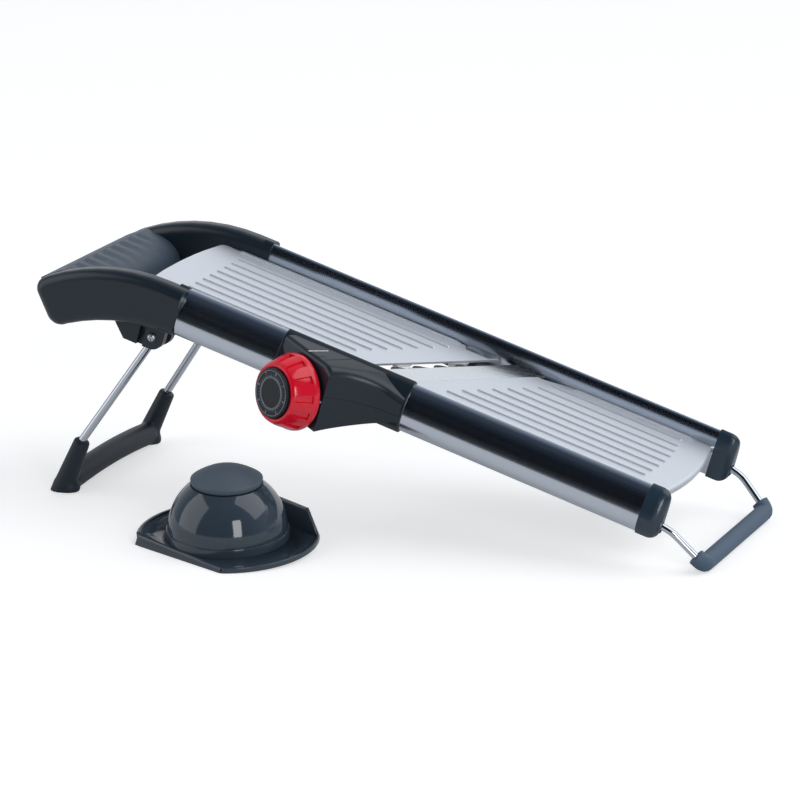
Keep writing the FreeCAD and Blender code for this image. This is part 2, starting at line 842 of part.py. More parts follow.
def leg_pivot_screw():
    y0 = cheek_inner - cheek_thickness
    y1 = cheek_outer + cheek_thickness
    shank = rod(V(pivot_x, y0, pivot_z), V(pivot_x, y1, pivot_z), pivot_radius)
    head = rod(V(pivot_x, y1, pivot_z), V(pivot_x, y1 + screw_head_height, pivot_z), screw_head_radius)
    slot = screw_head_radius * 0.62
    thin = screw_head_radius * 0.14
    deep = screw_head_height / 2
    cross = [block(pivot_x - a, pivot_x + a, y1 + deep, big, pivot_z - b, pivot_z + b)
             for a, b in ((slot, thin), (thin, slot))]
    return joined([shank, head]).cut(cross)


def leg_pivot_screws():
    far = leg_pivot_screw()
    return Part.makeCompound([far, other_side(far)])


def leg_wire():
    """Straight wire with an eye, bent a little where it enters the rubber."""
    eye = rod(leg_pivot - V(0, eye_width / 2, 0), leg_pivot + V(0, eye_width / 2, 0), eye_radius)
    upper = rod(leg_pivot, socket_top, leg_wire_radius)
    knee = Part.makeSphere(leg_wire_radius, socket_top)
    lower = rod(socket_top, socket_top + foot_down * wire_depth, leg_wire_radius)
    cheeks = [block(-big, big, y0, y0 + big, pivot_z - eye_radius, big)
              for y0 in (leg_pivot.y + eye_width / 2, leg_pivot.y - eye_width / 2 - big)]
    bore = rod(leg_pivot - V(0, eye_width, 0), leg_pivot + V(0, eye_width, 0),
               pivot_radius + running_gap)
    return joined([eye, upper, knee, lower]).cut(cheeks + [bore])


def leg_wires():
    far = leg_wire()
    return Part.makeCompound([far, other_side(far)])


def floor_block():
    """Everything below the floor, in the flat slicer's frame."""
    below = block(-big, big, -big, big, -big, 0)
    below.translate(V(0, 0, floor_drop))
    below.rotate(V(0, 0, 0), V(0, 1, 0), -stand_tilt)
    return below


def rubber_foot():
    """Two sockets that run down to the floor, and an arched bar between them."""
    mouth = socket_top - foot_down * (foot_radius / 2)
    leg = Part.makeCone(socket_radius, foot_radius, foot_length / 2, mouth, foot_down)
    stub = rod(mouth + foot_down * (foot_length / 2), toe + foot_down * foot_radius, foot_radius)
    up = V(sin(radians(foot_lean)), 0, cos(radians(foot_lean)))
    ahead = V(cos(radians(foot_lean)), 0, -sin(radians(foot_lean)))
    base = V(toe.x, 0, toe.z) - ahead * (foot_thickness / 2)
    across = V(0, toe.y, 0)
    low = base + up * foot_bar_low
    high = base + up * foot_bar_high
    rise = up * arch_rise
    outline = wire_of(
        arc(low - across, low + rise, low + across),
        line(low + across, high + across),
        arc(high + across, high + rise, high - across),
        line(high - across, low - across))
    bar = prism(outline, ahead * foot_thickness)
    whole = joined([leg, stub, other_side(leg), other_side(stub), bar])
    return whole.cut([floor_block(), leg_wires()])


# End caps and bail

bail_wire_y = half_bay + rail_crest
bail_stub_y = half_bay + rail_width - rail_wall


def end_cap():
    x0 = rail_length
    x1 = rail_length + cap_length
    body = rail_bar(x0, x1, cap_skin)
    front = [edge for edge in body.Edges if all(abs(v.X - x1) < 0.01 for v in edge.Vertexes)]
    body = body.makeFillet(cap_rounding, front)
    plug = rail_bar(x0 - cap_length, x0, -rail_wall)
    gap = bail_radius + cheek_gap
    slot = block(bail_pivot_x - gap, big, bail_wire_y - gap, bail_wire_y + gap,
                 -big, bail_pivot_z + gap)
    stub = rod(V(bail_pivot_x, bail_wire_y, bail_pivot_z), V(bail_pivot_x, bail_stub_y, bail_pivot_z),
               bail_radius + running_gap)
    return joined([body, plug]).cut([slot, stub])


def bail_points():
    far = [V(bail_pivot_x, bail_stub_y, bail_pivot_z), V(bail_pivot_x, bail_wire_y, bail_pivot_z)]
    knee = V(bail_knee_x, bail_wire_y, bail_knee_z)
    corner = V(bail_front_x, bail_front_half, bail_front_z)
    return far, knee, corner


def bail_wire():
    (stub, elbow), knee, corner = bail_points()
    run = [elbow, knee, corner]
    back = [V(p.x, -p.y, p.z) for p in reversed(run)]
    wire = bent_rod(run + back, bail_bend, bail_radius)
    pin = rod(stub, elbow, bail_radius)
    ball = Part.makeSphere(bail_radius, elbow)
    return joined([wire, pin, ball, other_side(pin), other_side(ball)])


def bail_sleeve():
    _, knee, corner = bail_points()
    start = corner + (knee - corner).normalize() * sleeve_return
    run = [start, corner]
    back = [V(p.x, -p.y, p.z) for p in reversed(run)]
    tube = bent_rod(run + back, bail_bend, sleeve_radius)
    return tube.cut([bail_wire(), floor_block()])


# Pusher: hood with its brim, and the plunger that slides in it

disc_low = hood_top + disc_gap
lean_way = radians(pusher_lean_way)
leaning = FreeCAD.Rotation(V(-sin(lean_way), cos(lean_way), 0), pusher_lean)


def hood():
    lid = block(-big, big, -big, big, hood_top, big)
    dome = joined([Part.makeSphere(hood_radius, V(0, 0, hood_centre)),
                   Part.makeCylinder(hood_radius, hood_centre)]).cut(lid)
    ring = Part.makeCylinder(hood_ring_radius, hood_ring_height, V(0, 0, hood_base))
    plan = Part.makeCylinder(brim_half_length, brim_thickness, V(0, 0, hood_base - brim_thickness))
    strip = block(-big, big, -brim_half_width, brim_half_width, -big, big)
    brim = plan.common(strip)
    edge = Part.makeCylinder(brim_half_length, brim_rise + brim_thickness,
                             V(0, 0, hood_base - brim_thickness))
    edge = edge.cut(Part.makeCylinder(brim_half_length - brim_rim, big, V(0, 0, -big / 2)))
    chord = sqrt(brim_half_length ** 2 - brim_half_width ** 2)
    near_lip = block(-chord, chord, -brim_half_width, -brim_half_width + wall_thickness,
                     -skirt_drop, hood_base + brim_rise)
    far_wall = polygon_prism(
        [V(-chord, brim_half_width - wall_thickness, -skirt_drop),
         V(chord, brim_half_width - wall_thickness, -skirt_drop),
         V(chord, brim_half_width - wall_thickness, hood_base),
         V(far_wall_half, brim_half_width - wall_thickness, far_wall_height),
         V(-far_wall_half, brim_half_width - wall_thickness, far_wall_height),
         V(-chord, brim_half_width - wall_thickness, hood_base)], V(0, wall_thickness, 0))
    solid = joined([dome, ring, brim, edge.common(strip), near_lip, far_wall])
    roof = block(-big, big, -big, big, hood_top - hood_wall, big)
    hollow = joined([Part.makeSphere(hood_radius - hood_wall, V(0, 0, hood_centre)),
                     Part.makeCylinder(hood_radius - hood_wall, big, V(0, 0, hood_centre - big))])
    hollow = hollow.cut(roof)
    below = block(-big, big, -big, big, -big, hood_base - brim_thickness)
    walls = joined([near_lip, far_wall])
    neck = Part.makeCylinder(stem_radius + stem_gap, big)
    shell = solid.cut(joined([hollow, neck]))
    floor = block(-big, big, -big, big, -big, 0)
    floor.Placement = FreeCAD.Placement(V(0, 0, 0), leaning.inverted())
    return joined([shell.cut(below), walls.cut(hollow)]).cut(floor)


prong_tip_z = prong_clearance
prong_plate_z = prong_tip_z + prong_length
stem_low = prong_plate_z + prong_plate_thickness


def palm_disc():
    low = V(0, 0, disc_low)
    rim = Part.makeCylinder(disc_radius, disc_rim, low)
    ball_radius = (disc_radius ** 2 + disc_crown ** 2) / (2 * disc_crown)
    ball = Part.makeSphere(ball_radius, V(0, 0, disc_low + disc_rim + disc_crown - ball_radius))
    crown = ball.common(Part.makeCylinder(disc_radius, disc_crown, V(0, 0, disc_low + disc_rim)))
    return joined([rim, crown])


def plunger_stem():
    return Part.makeCylinder(stem_radius, disc_low - stem_low, V(0, 0, stem_low))


def prong_plate():
    plate = Part.makeCylinder(prong_plate_radius, prong_plate_thickness, V(0, 0, prong_plate_z))
    return plate.cut(prongs())


def prongs():
    pins = []
    for index in range(prong_count):
        angle = 2 * pi * index / prong_count
        foot = V(prong_circle * cos(angle), prong_circle * sin(angle), prong_tip_z)
        point = Part.makeCone(0.1, prong_radius, prong_length / 3, foot)
        shank = Part.makeCylinder(prong_radius, prong_length * 2 / 3 + prong_plate_thickness / 2,
                                  foot + V(0, 0, prong_length / 3))
        pins.append(joined([point, shank]))
    return Part.makeCompound(pins)


# Assembly: the slicer tilts onto its leg and bail, the pusher stands beside it

slicer_nodes = {
    "near_rail": near_rail(),
    "far_rail": far_rail(),
    "handle": handle(),
    "grip_pad": grip_pad(),
    "upper_plate": upper_plate(),
    "cam_pads": cam_pads(),
    "lower_plate": lower_plate(),
    "slicing_blade": slicing_blade(),
    "wave_blade": wave_blade(),
    "blade_bed": blade_bed(),
    "blade_screws": blade_screws(),
    "guide_pins": Part.makeCompound([guide_pin(-1), guide_pin(1)]),
    "knob": knob(),
    "knob_cap": knob_cap(),
    "knob_screw": knob_screw(),
    "cam_shaft": cam_shaft(),
    "lift_cams": lift_cams(),
    "housing_top_shell": housing_top_shell(),
    "housing_bottom_shell": housing_bottom_shell(),
    "housing_screws": housing_screws(),
    "bearing_block": bearing_block(),
    "bearing_screw": bearing_screw(),
    "near_leg_bracket": other_side(leg_bracket()),
    "far_leg_bracket": leg_bracket(),
    "leg_pivot_screws": leg_pivot_screws(),
    "leg_wires": leg_wires(),
    "rubber_foot": rubber_foot(),
    "near_end_cap": other_side(end_cap()),
    "far_end_cap": end_cap(),
    "bail_wire": bail_wire(),
    "bail_sleeve": bail_sleeve(),
}
pusher_nodes = {
    "pusher_hood": hood(),
    "palm_disc": palm_disc(),
    "plunger_stem": plunger_stem(),
    "prong_plate": prong_plate(),
    "prongs": prongs(),
}

tilted = FreeCAD.Placement(V(0, 0, -floor_drop), FreeCAD.Rotation(V(0, 1, 0), stand_tilt))
turned = FreeCAD.Rotation(V(0, 0, 1), pusher_turn)
beside = FreeCAD.Placement(V(pusher_x, pusher_y, 0), turned.multiply(leaning))


def placed(shape, placement):
    moved = shape.copy()
    moved.Placement = placement.multiply(moved.Placement)
    return moved


nodes = {name: placed(shape, tilted) for name, shape in slicer_nodes.items()}
nodes.update({name: placed(shape, beside) for name, shape in pusher_nodes.items()})

# Origin at the middle of the bounding box, on the floor
box = Part.makeCompound(list(nodes.values())).optimalBoundingBox()
centre = FreeCAD.Placement(V(-(box.XMin + box.XMax) / 2, -(box.YMin + box.YMax) / 2, -box.ZMin),
                           FreeCAD.Rotation())

os.makedirs("parts", exist_ok=True)
for name, shape in nodes.items():
    placed(shape, centre).exportStep("parts/" + name + ".step")

to_world = centre.multiply(tilted)
for name, point in (("leg_fold", V(pivot_x, 0, pivot_z)), ("bail_fold", V(bail_pivot_x, 0, bail_pivot_z)),
                    ("knob_turn", knob_back)):
    print("point", name, to_world.multVec(point))
print("point pusher", centre.multiply(beside).multVec(V(0, 0, 0)))
print("axis knob_turn", tilted.Rotation.multVec(knob_out))
print("axis plate_lift", tilted.Rotation.multVec(V(0, 0, 1)))
print("lift rate", lift_rate, "foot length", foot_length, "cam back radius", cam_back_radius)
print("box", box.XLength, box.YLength, box.ZLength)
for name, shape in nodes.items():
    print(name, "solids", len(shape.Solids), "volume", round(shape.Volume, 1), "valid", shape.isValid())
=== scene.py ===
import json
from math import asin, cos, pi, radians, sin, sqrt, tan

import bmesh
import bpy
from mathutils import Matrix, Vector


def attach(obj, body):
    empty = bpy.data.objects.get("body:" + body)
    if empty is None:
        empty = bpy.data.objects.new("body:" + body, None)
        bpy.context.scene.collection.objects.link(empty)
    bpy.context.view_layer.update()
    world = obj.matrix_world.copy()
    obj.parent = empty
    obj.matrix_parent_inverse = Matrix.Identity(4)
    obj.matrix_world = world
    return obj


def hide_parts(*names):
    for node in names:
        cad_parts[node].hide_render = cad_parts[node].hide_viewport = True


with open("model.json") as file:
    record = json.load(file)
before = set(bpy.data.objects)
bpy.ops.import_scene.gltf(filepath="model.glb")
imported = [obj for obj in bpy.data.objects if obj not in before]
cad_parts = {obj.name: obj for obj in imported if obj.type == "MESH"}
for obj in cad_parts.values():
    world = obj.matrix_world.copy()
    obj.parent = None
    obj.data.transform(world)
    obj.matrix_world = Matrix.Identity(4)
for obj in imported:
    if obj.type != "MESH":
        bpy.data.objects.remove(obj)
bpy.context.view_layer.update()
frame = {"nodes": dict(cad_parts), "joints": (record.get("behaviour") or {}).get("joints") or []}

# Rails
# The two D-shaped side tubes that everything else hangs on. Stainless steel, drawn to shape,
# polished along their length and pushed over the spigots of the handle and of the end caps.

mm = 0.001
joints = {joint["name"]: joint for joint in frame["joints"]}
stand_tilt = radians(16.4)
# Places on the slicer are in mm, as it lies flat with the rails' rear ends at x = 0.
leg_hinge = Vector((-11.5, 0, -9.4))
slicer_place = (Matrix.Translation(joints["leg_fold"]["pos_m"]) @ Matrix.Rotation(stand_tilt, 4, "Y")
                @ Matrix.Scale(mm, 4) @ Matrix.Translation(-leg_hinge))
half_bay = 50.0
rail_length = 275.0
rail_bulge = 12.6
# Corners of the D: how far out and up, how they move when the D grows by 1 mm, and the radius and
# steps of their rounding.
rail_corners = ((0, 0, -1, -1, 0, 0), (9.7, 0, 0.3, -1, 1.5, 4), (12.2, 4, 1, -0.3, 1.9, 5),
                (rail_bulge, 8.5, 1, 0, 2.1, 5), (11.4, 14.5, 1, 0, 2.6, 6), (8.9, 20.6, 0.9, 0.4, 2.2, 6),
                (5.6, 24.4, 0.6, 0.8, 1.2, 5), (3.2, 25.6, 0, 1, 0.9, 4), (1.6, 24.2, -0.6, 0.8, 0.9, 4),
                (0.6, 20.5, -0.9, 0.4, 1.6, 5), (0, 15.5, -1, 0, 1.6, 4))
rail_rounds = [(index, *corner[4:]) for index, corner in enumerate(rail_corners) if corner[4]]
streak_stretch = 333


def linear(hex_colour):
    """sRGB hex to linear RGBA."""
    parts = [int(hex_colour[i:i + 2], 16) / 255 for i in (1, 3, 5)]
    return [c / 12.92 if c <= 0.04045 else ((c + 0.055) / 1.055) ** 2.4 for c in parts] + [1]


def add(tree, kind, inputs, **settings):
    """Adds a shader node with its settings; an input is a value or the socket that feeds it."""
    node = tree.nodes.new("ShaderNode" + kind)
    for name, value in settings.items():
        setattr(node, name, value)
    for name, value in inputs.items():
        if isinstance(value, bpy.types.NodeSocket):
            tree.links.new(value, node.inputs[name])
        else:
            node.inputs[name].default_value = value
    return node


def new_material(name, colour, roughness, metallic=0.0):
    material = bpy.data.materials.new(name)
    material.use_nodes = True
    shader = material.node_tree.nodes["Principled BSDF"]
    shader.inputs["Base Color"].default_value = linear(colour)
    shader.inputs["Roughness"].default_value = roughness
    shader.inputs["Metallic"].default_value = metallic
    return material, material.node_tree, shader


def drawn_steel(name, colour, shine, streak_mm, streak_depth=0.0, turn=(0, stand_tilt, 0), metallic=1.0):
    """Steel worked one way: streaks in its gloss and relief, far longer than wide."""
    material, tree, shader = new_material(name, colour, shine[0], metallic)
    place = add(tree, "TexCoord", {})
    along = add(tree, "Mapping", {"Vector": place.outputs["Object"], "Rotation": turn,
                                  "Scale": (streak_stretch, 1, 1)}, vector_type="TEXTURE")
    streaks = add(tree, "TexNoise", {"Vector": along.outputs["Vector"], "Detail": 3,
                                     "Scale": 1 / (streak_mm * mm)})
    gloss = add(tree, "MapRange", {"Value": streaks.outputs["Fac"], "From Min": 0.3, "From Max": 0.7,
                                   "To Min": shine[0], "To Max": shine[1]})
    tree.links.new(gloss.outputs["Result"], shader.inputs["Roughness"])
    if streak_depth:
        relief = add(tree, "Bump", {"Height": streaks.outputs["Fac"], "Strength": streak_depth,
                                    "Distance": 0.02 * mm})
        tree.links.new(relief.outputs["Normal"], shader.inputs["Normal"])
    return material


# Polished stainless steel: near-mirror bands along the tube, their edges a little blurred.
polished_steel = drawn_steel("polished_stainless_steel", "#bac1cb", (0.15, 0.19), 1.2)


def drawn_out(bm, faces, way):
    """Extrudes faces and gives back the end faces."""
    grown = bmesh.ops.extrude_face_region(bm, geom=faces)["geom"]
    bmesh.ops.translate(bm, vec=way, verts=[g for g in grown if isinstance(g, bmesh.types.BMVert)])
    return [g for g in grown if isinstance(g, bmesh.types.BMFace)]


def bevel(bm, geom, radius, steps, affect="EDGES", clamp=True):
    bmesh.ops.bevel(bm, geom=geom, offset=radius, offset_type="OFFSET", segments=steps, profile=0.5,
                    affect=affect, material=-1, clamp_overlap=clamp)


def prism(corners, way, rounds=()):
    """A bar on a flat outline; rounds lists (corner, radius, steps)."""
    bm = bmesh.new()
    outline = [bm.verts.new(corner) for corner in corners]
    bm.faces.new(outline)
    for corner, radius, steps in rounds:
        bevel(bm, [outline[corner]], radius, steps, "VERTICES")
    drawn_out(bm, bm.faces[:], way)
    bmesh.ops.recalc_face_normals(bm, faces=bm.faces)
    return bm


def moved(bm, matrix):
    bmesh.ops.transform(bm, matrix=matrix, verts=bm.verts)


def mesh_of(bm, name):
    """Turns a bmesh, which is used up, into a mesh."""
    mesh = bpy.data.meshes.new(name)
    bm.to_mesh(mesh)
    bm.free()
    return mesh


def placed(name, data):
    """A new object in the scene."""
    thing = bpy.data.objects.new(name, data)
    bpy.context.scene.collection.objects.link(thing)
    return thing


def made(name, bm, place, material, body, slot, *replaced, closed=True, crease=35):
    """Turns a mesh in mm into a piece that rides on a body."""
    if closed:
        bmesh.ops.recalc_face_normals(bm, faces=bm.faces)
    moved(bm, place)
    mesh = mesh_of(bm, name)
    mesh.shade_smooth()
    mesh.set_sharp_from_angle(angle=radians(crease))
    mesh.materials.append(material)
    piece = placed(name, mesh)
    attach(piece, body)
    if replaced:
        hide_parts(*replaced)
    return piece


def rail_outline(x, side, grow):
    """Corners of a rail's D, grown outwards; side is -1 for the near one. rail_rounds rounds them."""
    return [(x, side * (half_bay + out + grow * more_out), up + grow * more_up)
            for out, up, more_out, more_up in (corner[:4] for corner in rail_corners)]


for side, where in ((-1, "near"), (1, "far")):
    rail = prism(rail_outline(0, side, 0), (rail_length, 0, 0), rail_rounds)
    long_edges = [e for e in rail.edges if e.calc_length() > rail_length / 2]
    bmesh.ops.subdivide_edges(rail, edges=long_edges, cuts=3)
    made(where + "_rail_tube", rail, slicer_place, polished_steel, "frame", "rail_steel", where + "_rail")

# Lower plate
# The fixed run behind the blade: stainless sheet, pressed with ten ridges that keep wet food from
# sticking, its front edge bowed and rolled down, its sides beaded and folded down inside the rails.

plate_level = 16.0
plate_gauge = 1.2
flat_end = 272.1
front_bow, bow_steps = 6.2, 24
front_lip = ((0.9, 0, -0.3), (0.5, 0, -0.7), (0.1, 0, -2.8))
blade_skew = radians(30)
blade_x = 127.6
blade_width, blade_gap = 15.0, 0.15
bearing_inner, bearing_rear, bearing_front = 45.4, 175.0, 189.0
lower_ridges = 10
ridge_pitch = 9.09
ridge_half = 1.05
ridge_flank = 0.55
ridge_rise = 0.8
ridges_behind_blade, ridges_before_front = 12.0, 18.0
rim_outer = half_bay - 0.1
near_rim_start, rim_stop = 136.0, flat_end - 6
rim_width, rim_rise, rim_taper = 2.6, 0.9, 5.0
flange_depth = 5.0

# Brushed stainless sheet: pale, softly blurred reflections with hair-fine lines along the feed.
# The real brushing is about 0.05 mm wide; it is drawn 0.6 mm wide so that it shows.
brushed_steel = drawn_steel("brushed_stainless_sheet", "#d9dee5", (0.4, 0.46), 0.6, 0.03, metallic=0.6)


def blade_point(across, behind, z):
    """Point on a line parallel to the cutting edge, at y = across."""
    return Vector((blade_x + across * tan(blade_skew) + behind / cos(blade_skew), across, z))


def cut(bm, faces, point, normal, **clear):
    """Cuts faces along a plane."""
    geom = set(faces) | {e for f in faces for e in f.edges} | {v for f in faces for v in f.verts}
    return bmesh.ops.bisect_plane(bm, geom=list(geom), plane_co=point, plane_no=normal, **clear)


def press_ridges(bm, level, count, start, end):
    """Presses straight ridges into a flat sheet, between limits that depend on y."""
    rows = [(index - (count - 1) / 2) * ridge_pitch for index in range(count)]
    for y in rows:
        for edge in (y - ridge_half, y + ridge_half):
            cut(bm, bm.faces[:], (0, edge, level), (0, 1, 0))
    for y in rows:
        for limit in (start(y), end(y)):
            strip = [f for f in bm.faces if abs(f.calc_center_median().y - y) < ridge_half]
            cut(bm, strip, (limit, y, level), (1, 0, 0))

    def on_ridge(face):
        centre = face.calc_center_median()
        return any(abs(centre.y - y) < ridge_half and start(y) < centre.x < end(y) for y in rows)

    ridges = [f for f in bm.faces if on_ridge(f)]
    bmesh.ops.inset_individual(bm, faces=ridges, thickness=ridge_flank, depth=ridge_rise)


def solid_sheet(piece, gauge):
    """Gives a sheet its thickness, below its top face."""
    wall = piece.modifiers.new("gauge", "SOLIDIFY")
    wall.thickness = gauge * mm
    wall.offset = -1
    wall.use_even_offset = True


def pressing(name, bm, body, node):
    """A pressed steel sheet, shaded flat so that its ridges stay crisp."""
    piece = made(name, bm, slicer_place, brushed_steel, body, "plate_steel", node, closed=False)
    piece.data.shade_flat()
    solid_sheet(piece, plate_gauge)


def bow(y):
    return front_bow * (1 - (y / half_bay) ** 2)


def folded(bm, edges, *moves):
    """Folds a border of a sheet along a row of moves and gives back its last points."""
    for move in moves:
        fold = bmesh.ops.extrude_edge_only(bm, edges=edges)["geom"]
        points = [g for g in fold if isinstance(g, bmesh.types.BMVert)]
        bmesh.ops.translate(bm, vec=move, verts=points)
        edges = [g for g in fold if isinstance(g, bmesh.types.BMEdge) and all(v in points for v in g.verts)]
    return points


sheet = bmesh.new()
sheet.faces.new([sheet.verts.new(p) for p in (
    blade_point(-half_bay, blade_width + blade_gap, plate_level), (flat_end, -half_bay, plate_level),
    (flat_end, half_bay, plate_level), (bearing_front, half_bay, plate_level),
    (bearing_rear, bearing_inner, plate_level),
    blade_point(bearing_inner, blade_width + blade_gap, plate_level))])
front = [e for e in sheet.edges if all(v.co.x > flat_end - 1 for v in e.verts)]
bmesh.ops.subdivide_edges(sheet, edges=front, cuts=bow_steps - 1)
for vert in sheet.verts:
    if vert.co.x > flat_end - 1:
        vert.co.x += bow(vert.co.y)
press_ridges(sheet, plate_level, lower_ridges,
             lambda y: blade_point(y, blade_width + ridges_behind_blade, 0).x,
             lambda y: rail_length - ridges_before_front + bow(y))
front = [e for e in sheet.edges if all(v.co.x > flat_end - 0.5 + bow(v.co.y) for v in e.verts)]
folded(sheet, front, *front_lip)
pressing("lower_plate_sheet", sheet, "frame", "lower_plate")


def sharp_edges(bm, test, angle=30):
    """Edges that fold by more than the angle and whose two ends pass the test."""
    return [e for e in bm.edges if len(e.link_faces) == 2 and e.calc_face_angle() > radians(angle)
            and all(test(v.co) for v in e.verts)]


def joined(bm, *others):
    """Puts other meshes' faces into the first."""
    for other in others:
        mesh = mesh_of(other, "joined")
        bm.from_mesh(mesh)
        bpy.data.meshes.remove(mesh)
    return bm


def even_normals(piece):
    """Keeps wide flat faces flat beside their rounded edges."""
    weighted = piece.modifiers.new("even_normals", "WEIGHTED_NORMAL")
    weighted.keep_sharp = True
    return piece


def plate_rim(side, outer, start, stop, level):
    """Folded side edge of a plate: a raised bead that tapers at its ends, over a flange."""
    low, high = level - plate_gauge / 2, level + rim_rise
    bead = prism([(x, side * outer, z) for x, z in (
        (start, low), (stop, low), (stop - rim_taper, high), (start + rim_taper, high))],
        (0, -side * rim_width, 0))
    bevel(bead, sharp_edges(bead, lambda p: p.z > level), 0.5, 3)
    flange = prism([(x, side * outer, z) for x, z in (
        (start, low), (stop, low), (stop, level - flange_depth), (start, level - flange_depth))],
        (0, -side * plate_gauge, 0))
    return joined(bead, flange)


rims = joined(plate_rim(-1, rim_outer, near_rim_start, rim_stop, plate_level),
              plate_rim(1, rim_outer, bearing_front, rim_stop, plate_level))
even_normals(made("lower_plate_rims", rims, slicer_place, brushed_steel, "frame", "plate_steel"))

# Blades
# The straight slicing blade lies flush with the lower plate; the scalloped blade for wave cuts is clamped
# under it, and its crests show in the throat, coloured near-black as painted shade for the shadow under the
# upper plate. Hardened stainless steel, ground, honed and screwed to the bed from below.

blade_gauge = 1.5
blade_bevel = 5.0
crest_count, crest_first, crest_pitch = 6, -37.3, 14.65
crest_half, crest_tip_half, crest_reach, crest_drop = 5.2, 2.6, 3.4, 0.3
crest_corners = ((-crest_half, -1.0), (crest_half, -1.0), (crest_half, 0.2), (crest_tip_half, crest_reach),
                 (-crest_tip_half, crest_reach), (-crest_half, 0.2))
crest_rounds = ((2, 2.4, 5), (3, 2.6, 6), (4, 2.6, 6), (5, 2.4, 5))

# Ground blade steel: brighter and smoother than the sheet, with grinding lines at a slant.
ground_steel = drawn_steel("ground_blade_steel", "#d6dade", (0.2, 0.3), 0.8, 0.2,
                           (0, stand_tilt, blade_skew))
# Blade steel darkened to near-black: painted shade, for the shadow under the upper plate on the scallops
# that show in the throat against the pale floor.
shade_darkened_steel = drawn_steel("shade_darkened_blade_steel", "#10171e", (0.4, 0.5), 0.8, 0.2,
                          (0, stand_tilt, blade_skew), 0.3)


def dressed(material, *nodes):
    """Gives a material to CAD pieces that stay as they are."""
    for node in nodes:
        frame["nodes"][node].data.materials.clear()
        frame["nodes"][node].data.materials.append(material)


section = [blade_point(-half_bay, behind, z) for behind, z in (
    (0, plate_level), (blade_width, plate_level), (blade_width, plate_level - blade_gauge),
    (blade_bevel, plate_level - blade_gauge))]
strip = prism(section, blade_point(half_bay, 0, 0) - blade_point(-half_bay, 0, 0))
bevel(strip, sharp_edges(strip, lambda p: p.z > plate_level - 0.1
                         and p.x > blade_point(p.y, blade_width / 2, 0).x), 0.3, 2)
even_normals(made("slicing_blade_strip", strip, slicer_place, ground_steel, "frame", "blade_steel",
                  "slicing_blade"))
# The wave blade and its crests take the darkened steel: painted shade.
dressed(shade_darkened_steel, "wave_blade")
crests = bmesh.new()
for index in range(crest_count):
    middle = crest_first + index * crest_pitch
    corners = [blade_point((middle + along) * cos(blade_skew), -ahead, plate_level - blade_gauge)
               for along, ahead in crest_corners]
    joined(crests, prism(corners, (0, 0, blade_gauge - crest_drop), crest_rounds))
made("wave_blade_crests", crests, slicer_place, shade_darkened_steel, "frame", "blade_steel")

# Bed, bearing and handle plastics
# The bed under the blades and the far bearing are moulded in glass-filled nylon and screwed to the
# rails. The same dark blue-grey nylon makes the handle, the brackets, the housing and the caps.

cloud_mm = 28


def moulded(name, colour, roughness, grain_mm, grain_depth, mottle=0.12, shine=0.5):
    """Moulded plastic or rubber: a spark-eroded grain, and a little unevenness of gloss and tone."""
    material, tree, shader = new_material(name, colour, roughness)
    shader.inputs["Specular IOR Level"].default_value = shine
    place = add(tree, "TexCoord", {})
    grain = add(tree, "TexNoise", {"Vector": place.outputs["Object"], "Detail": 2,
                                   "Scale": 1 / (grain_mm * mm)})
    cloud = add(tree, "TexNoise", {"Vector": place.outputs["Object"], "Detail": 4,
                                   "Scale": 1 / (cloud_mm * mm)})
    dark, pale = ([c * share for c in linear(colour)[:3]] + [1] for share in (1 - mottle, 1 + mottle))
    tone = add(tree, "Mix", {"Factor": cloud.outputs["Fac"], "A": dark, "B": pale}, data_type="RGBA")
    tree.links.new(tone.outputs["Result"], shader.inputs["Base Color"])
    gloss = add(tree, "MapRange", {"Value": cloud.outputs["Fac"], "To Min": roughness - 0.05,
                                   "To Max": roughness + 0.05})
    tree.links.new(gloss.outputs["Result"], shader.inputs["Roughness"])
    relief = add(tree, "Bump", {"Height": grain.outputs["Fac"], "Strength": grain_depth,
                                "Distance": 0.05 * mm})
    tree.links.new(relief.outputs["Normal"], shader.inputs["Normal"])
    return material


# Glass-filled nylon, satin: near-black blue with a soft broad highlight.
dark_nylon = moulded("satin_dark_nylon", "#101e29", 0.34, 0.5, 0.25, shine=0.45)
# Plain zinc-plated fasteners: grey, a little rough.
plated_steel = drawn_steel("zinc_plated_steel", "#b9bdc2", (0.3, 0.42), 0.7, 0.2)
dressed(dark_nylon, "blade_bed", "bearing_block")
dressed(plated_steel, "blade_screws", "bearing_screw", "guide_pins", "housing_screws", "knob_screw")

# Upper plate
# The feed ramp: the same pressed sheet with nine ridges, its rear corners rounded and its front
# edge cut parallel to the blade. It rides up and down on two slotted ears, lifted by the knob.

upper_level = 15.5
upper_half = 48.9
upper_rear = -28.0
upper_ridges, ridge_start, ridges_before_throat = 9, -8.5, 16.0
throat = 7.5
tongue, notch_inner, notch_run, notch_length = 1.5, 43.6, 13.5, 16.0
ramp_rim_start, near_ramp_rim_stop = -16.0, 60.0
ear_x, ear_half, ear_low, ear_top = 22.0, 8.0, -0.9, upper_level - 1
ear_slot_half, ear_slot_low = 2.3, 3.1

sheet = bmesh.new()
notch = blade_point(notch_inner, -throat - tongue, upper_level)
outline = [sheet.verts.new(p) for p in (
    (upper_rear + 3.5, -upper_half, upper_level), blade_point(-upper_half, -throat, upper_level),
    blade_point(upper_half, -throat, upper_level), blade_point(upper_half, -throat - tongue, upper_level),
    notch, (notch.x - notch_run, notch_inner, upper_level),
    (notch.x - notch_length, upper_half, upper_level), (upper_rear + 3.8, upper_half, upper_level),
    (upper_rear + 0.8, 24.0, upper_level), (upper_rear, 0.0, upper_level),
    (upper_rear + 0.6, -26.0, upper_level))]
sheet.faces.new(outline)
bevel(sheet, [outline[0], outline[7]], 3, 5, "VERTICES")
bevel(sheet, outline[8:], 9, 4, "VERTICES")
press_ridges(sheet, upper_level, upper_ridges, lambda y: ridge_start,
             lambda y: blade_point(y, -throat - ridges_before_throat, 0).x)
pressing("upper_plate_sheet", sheet, "ramp", "upper_plate")
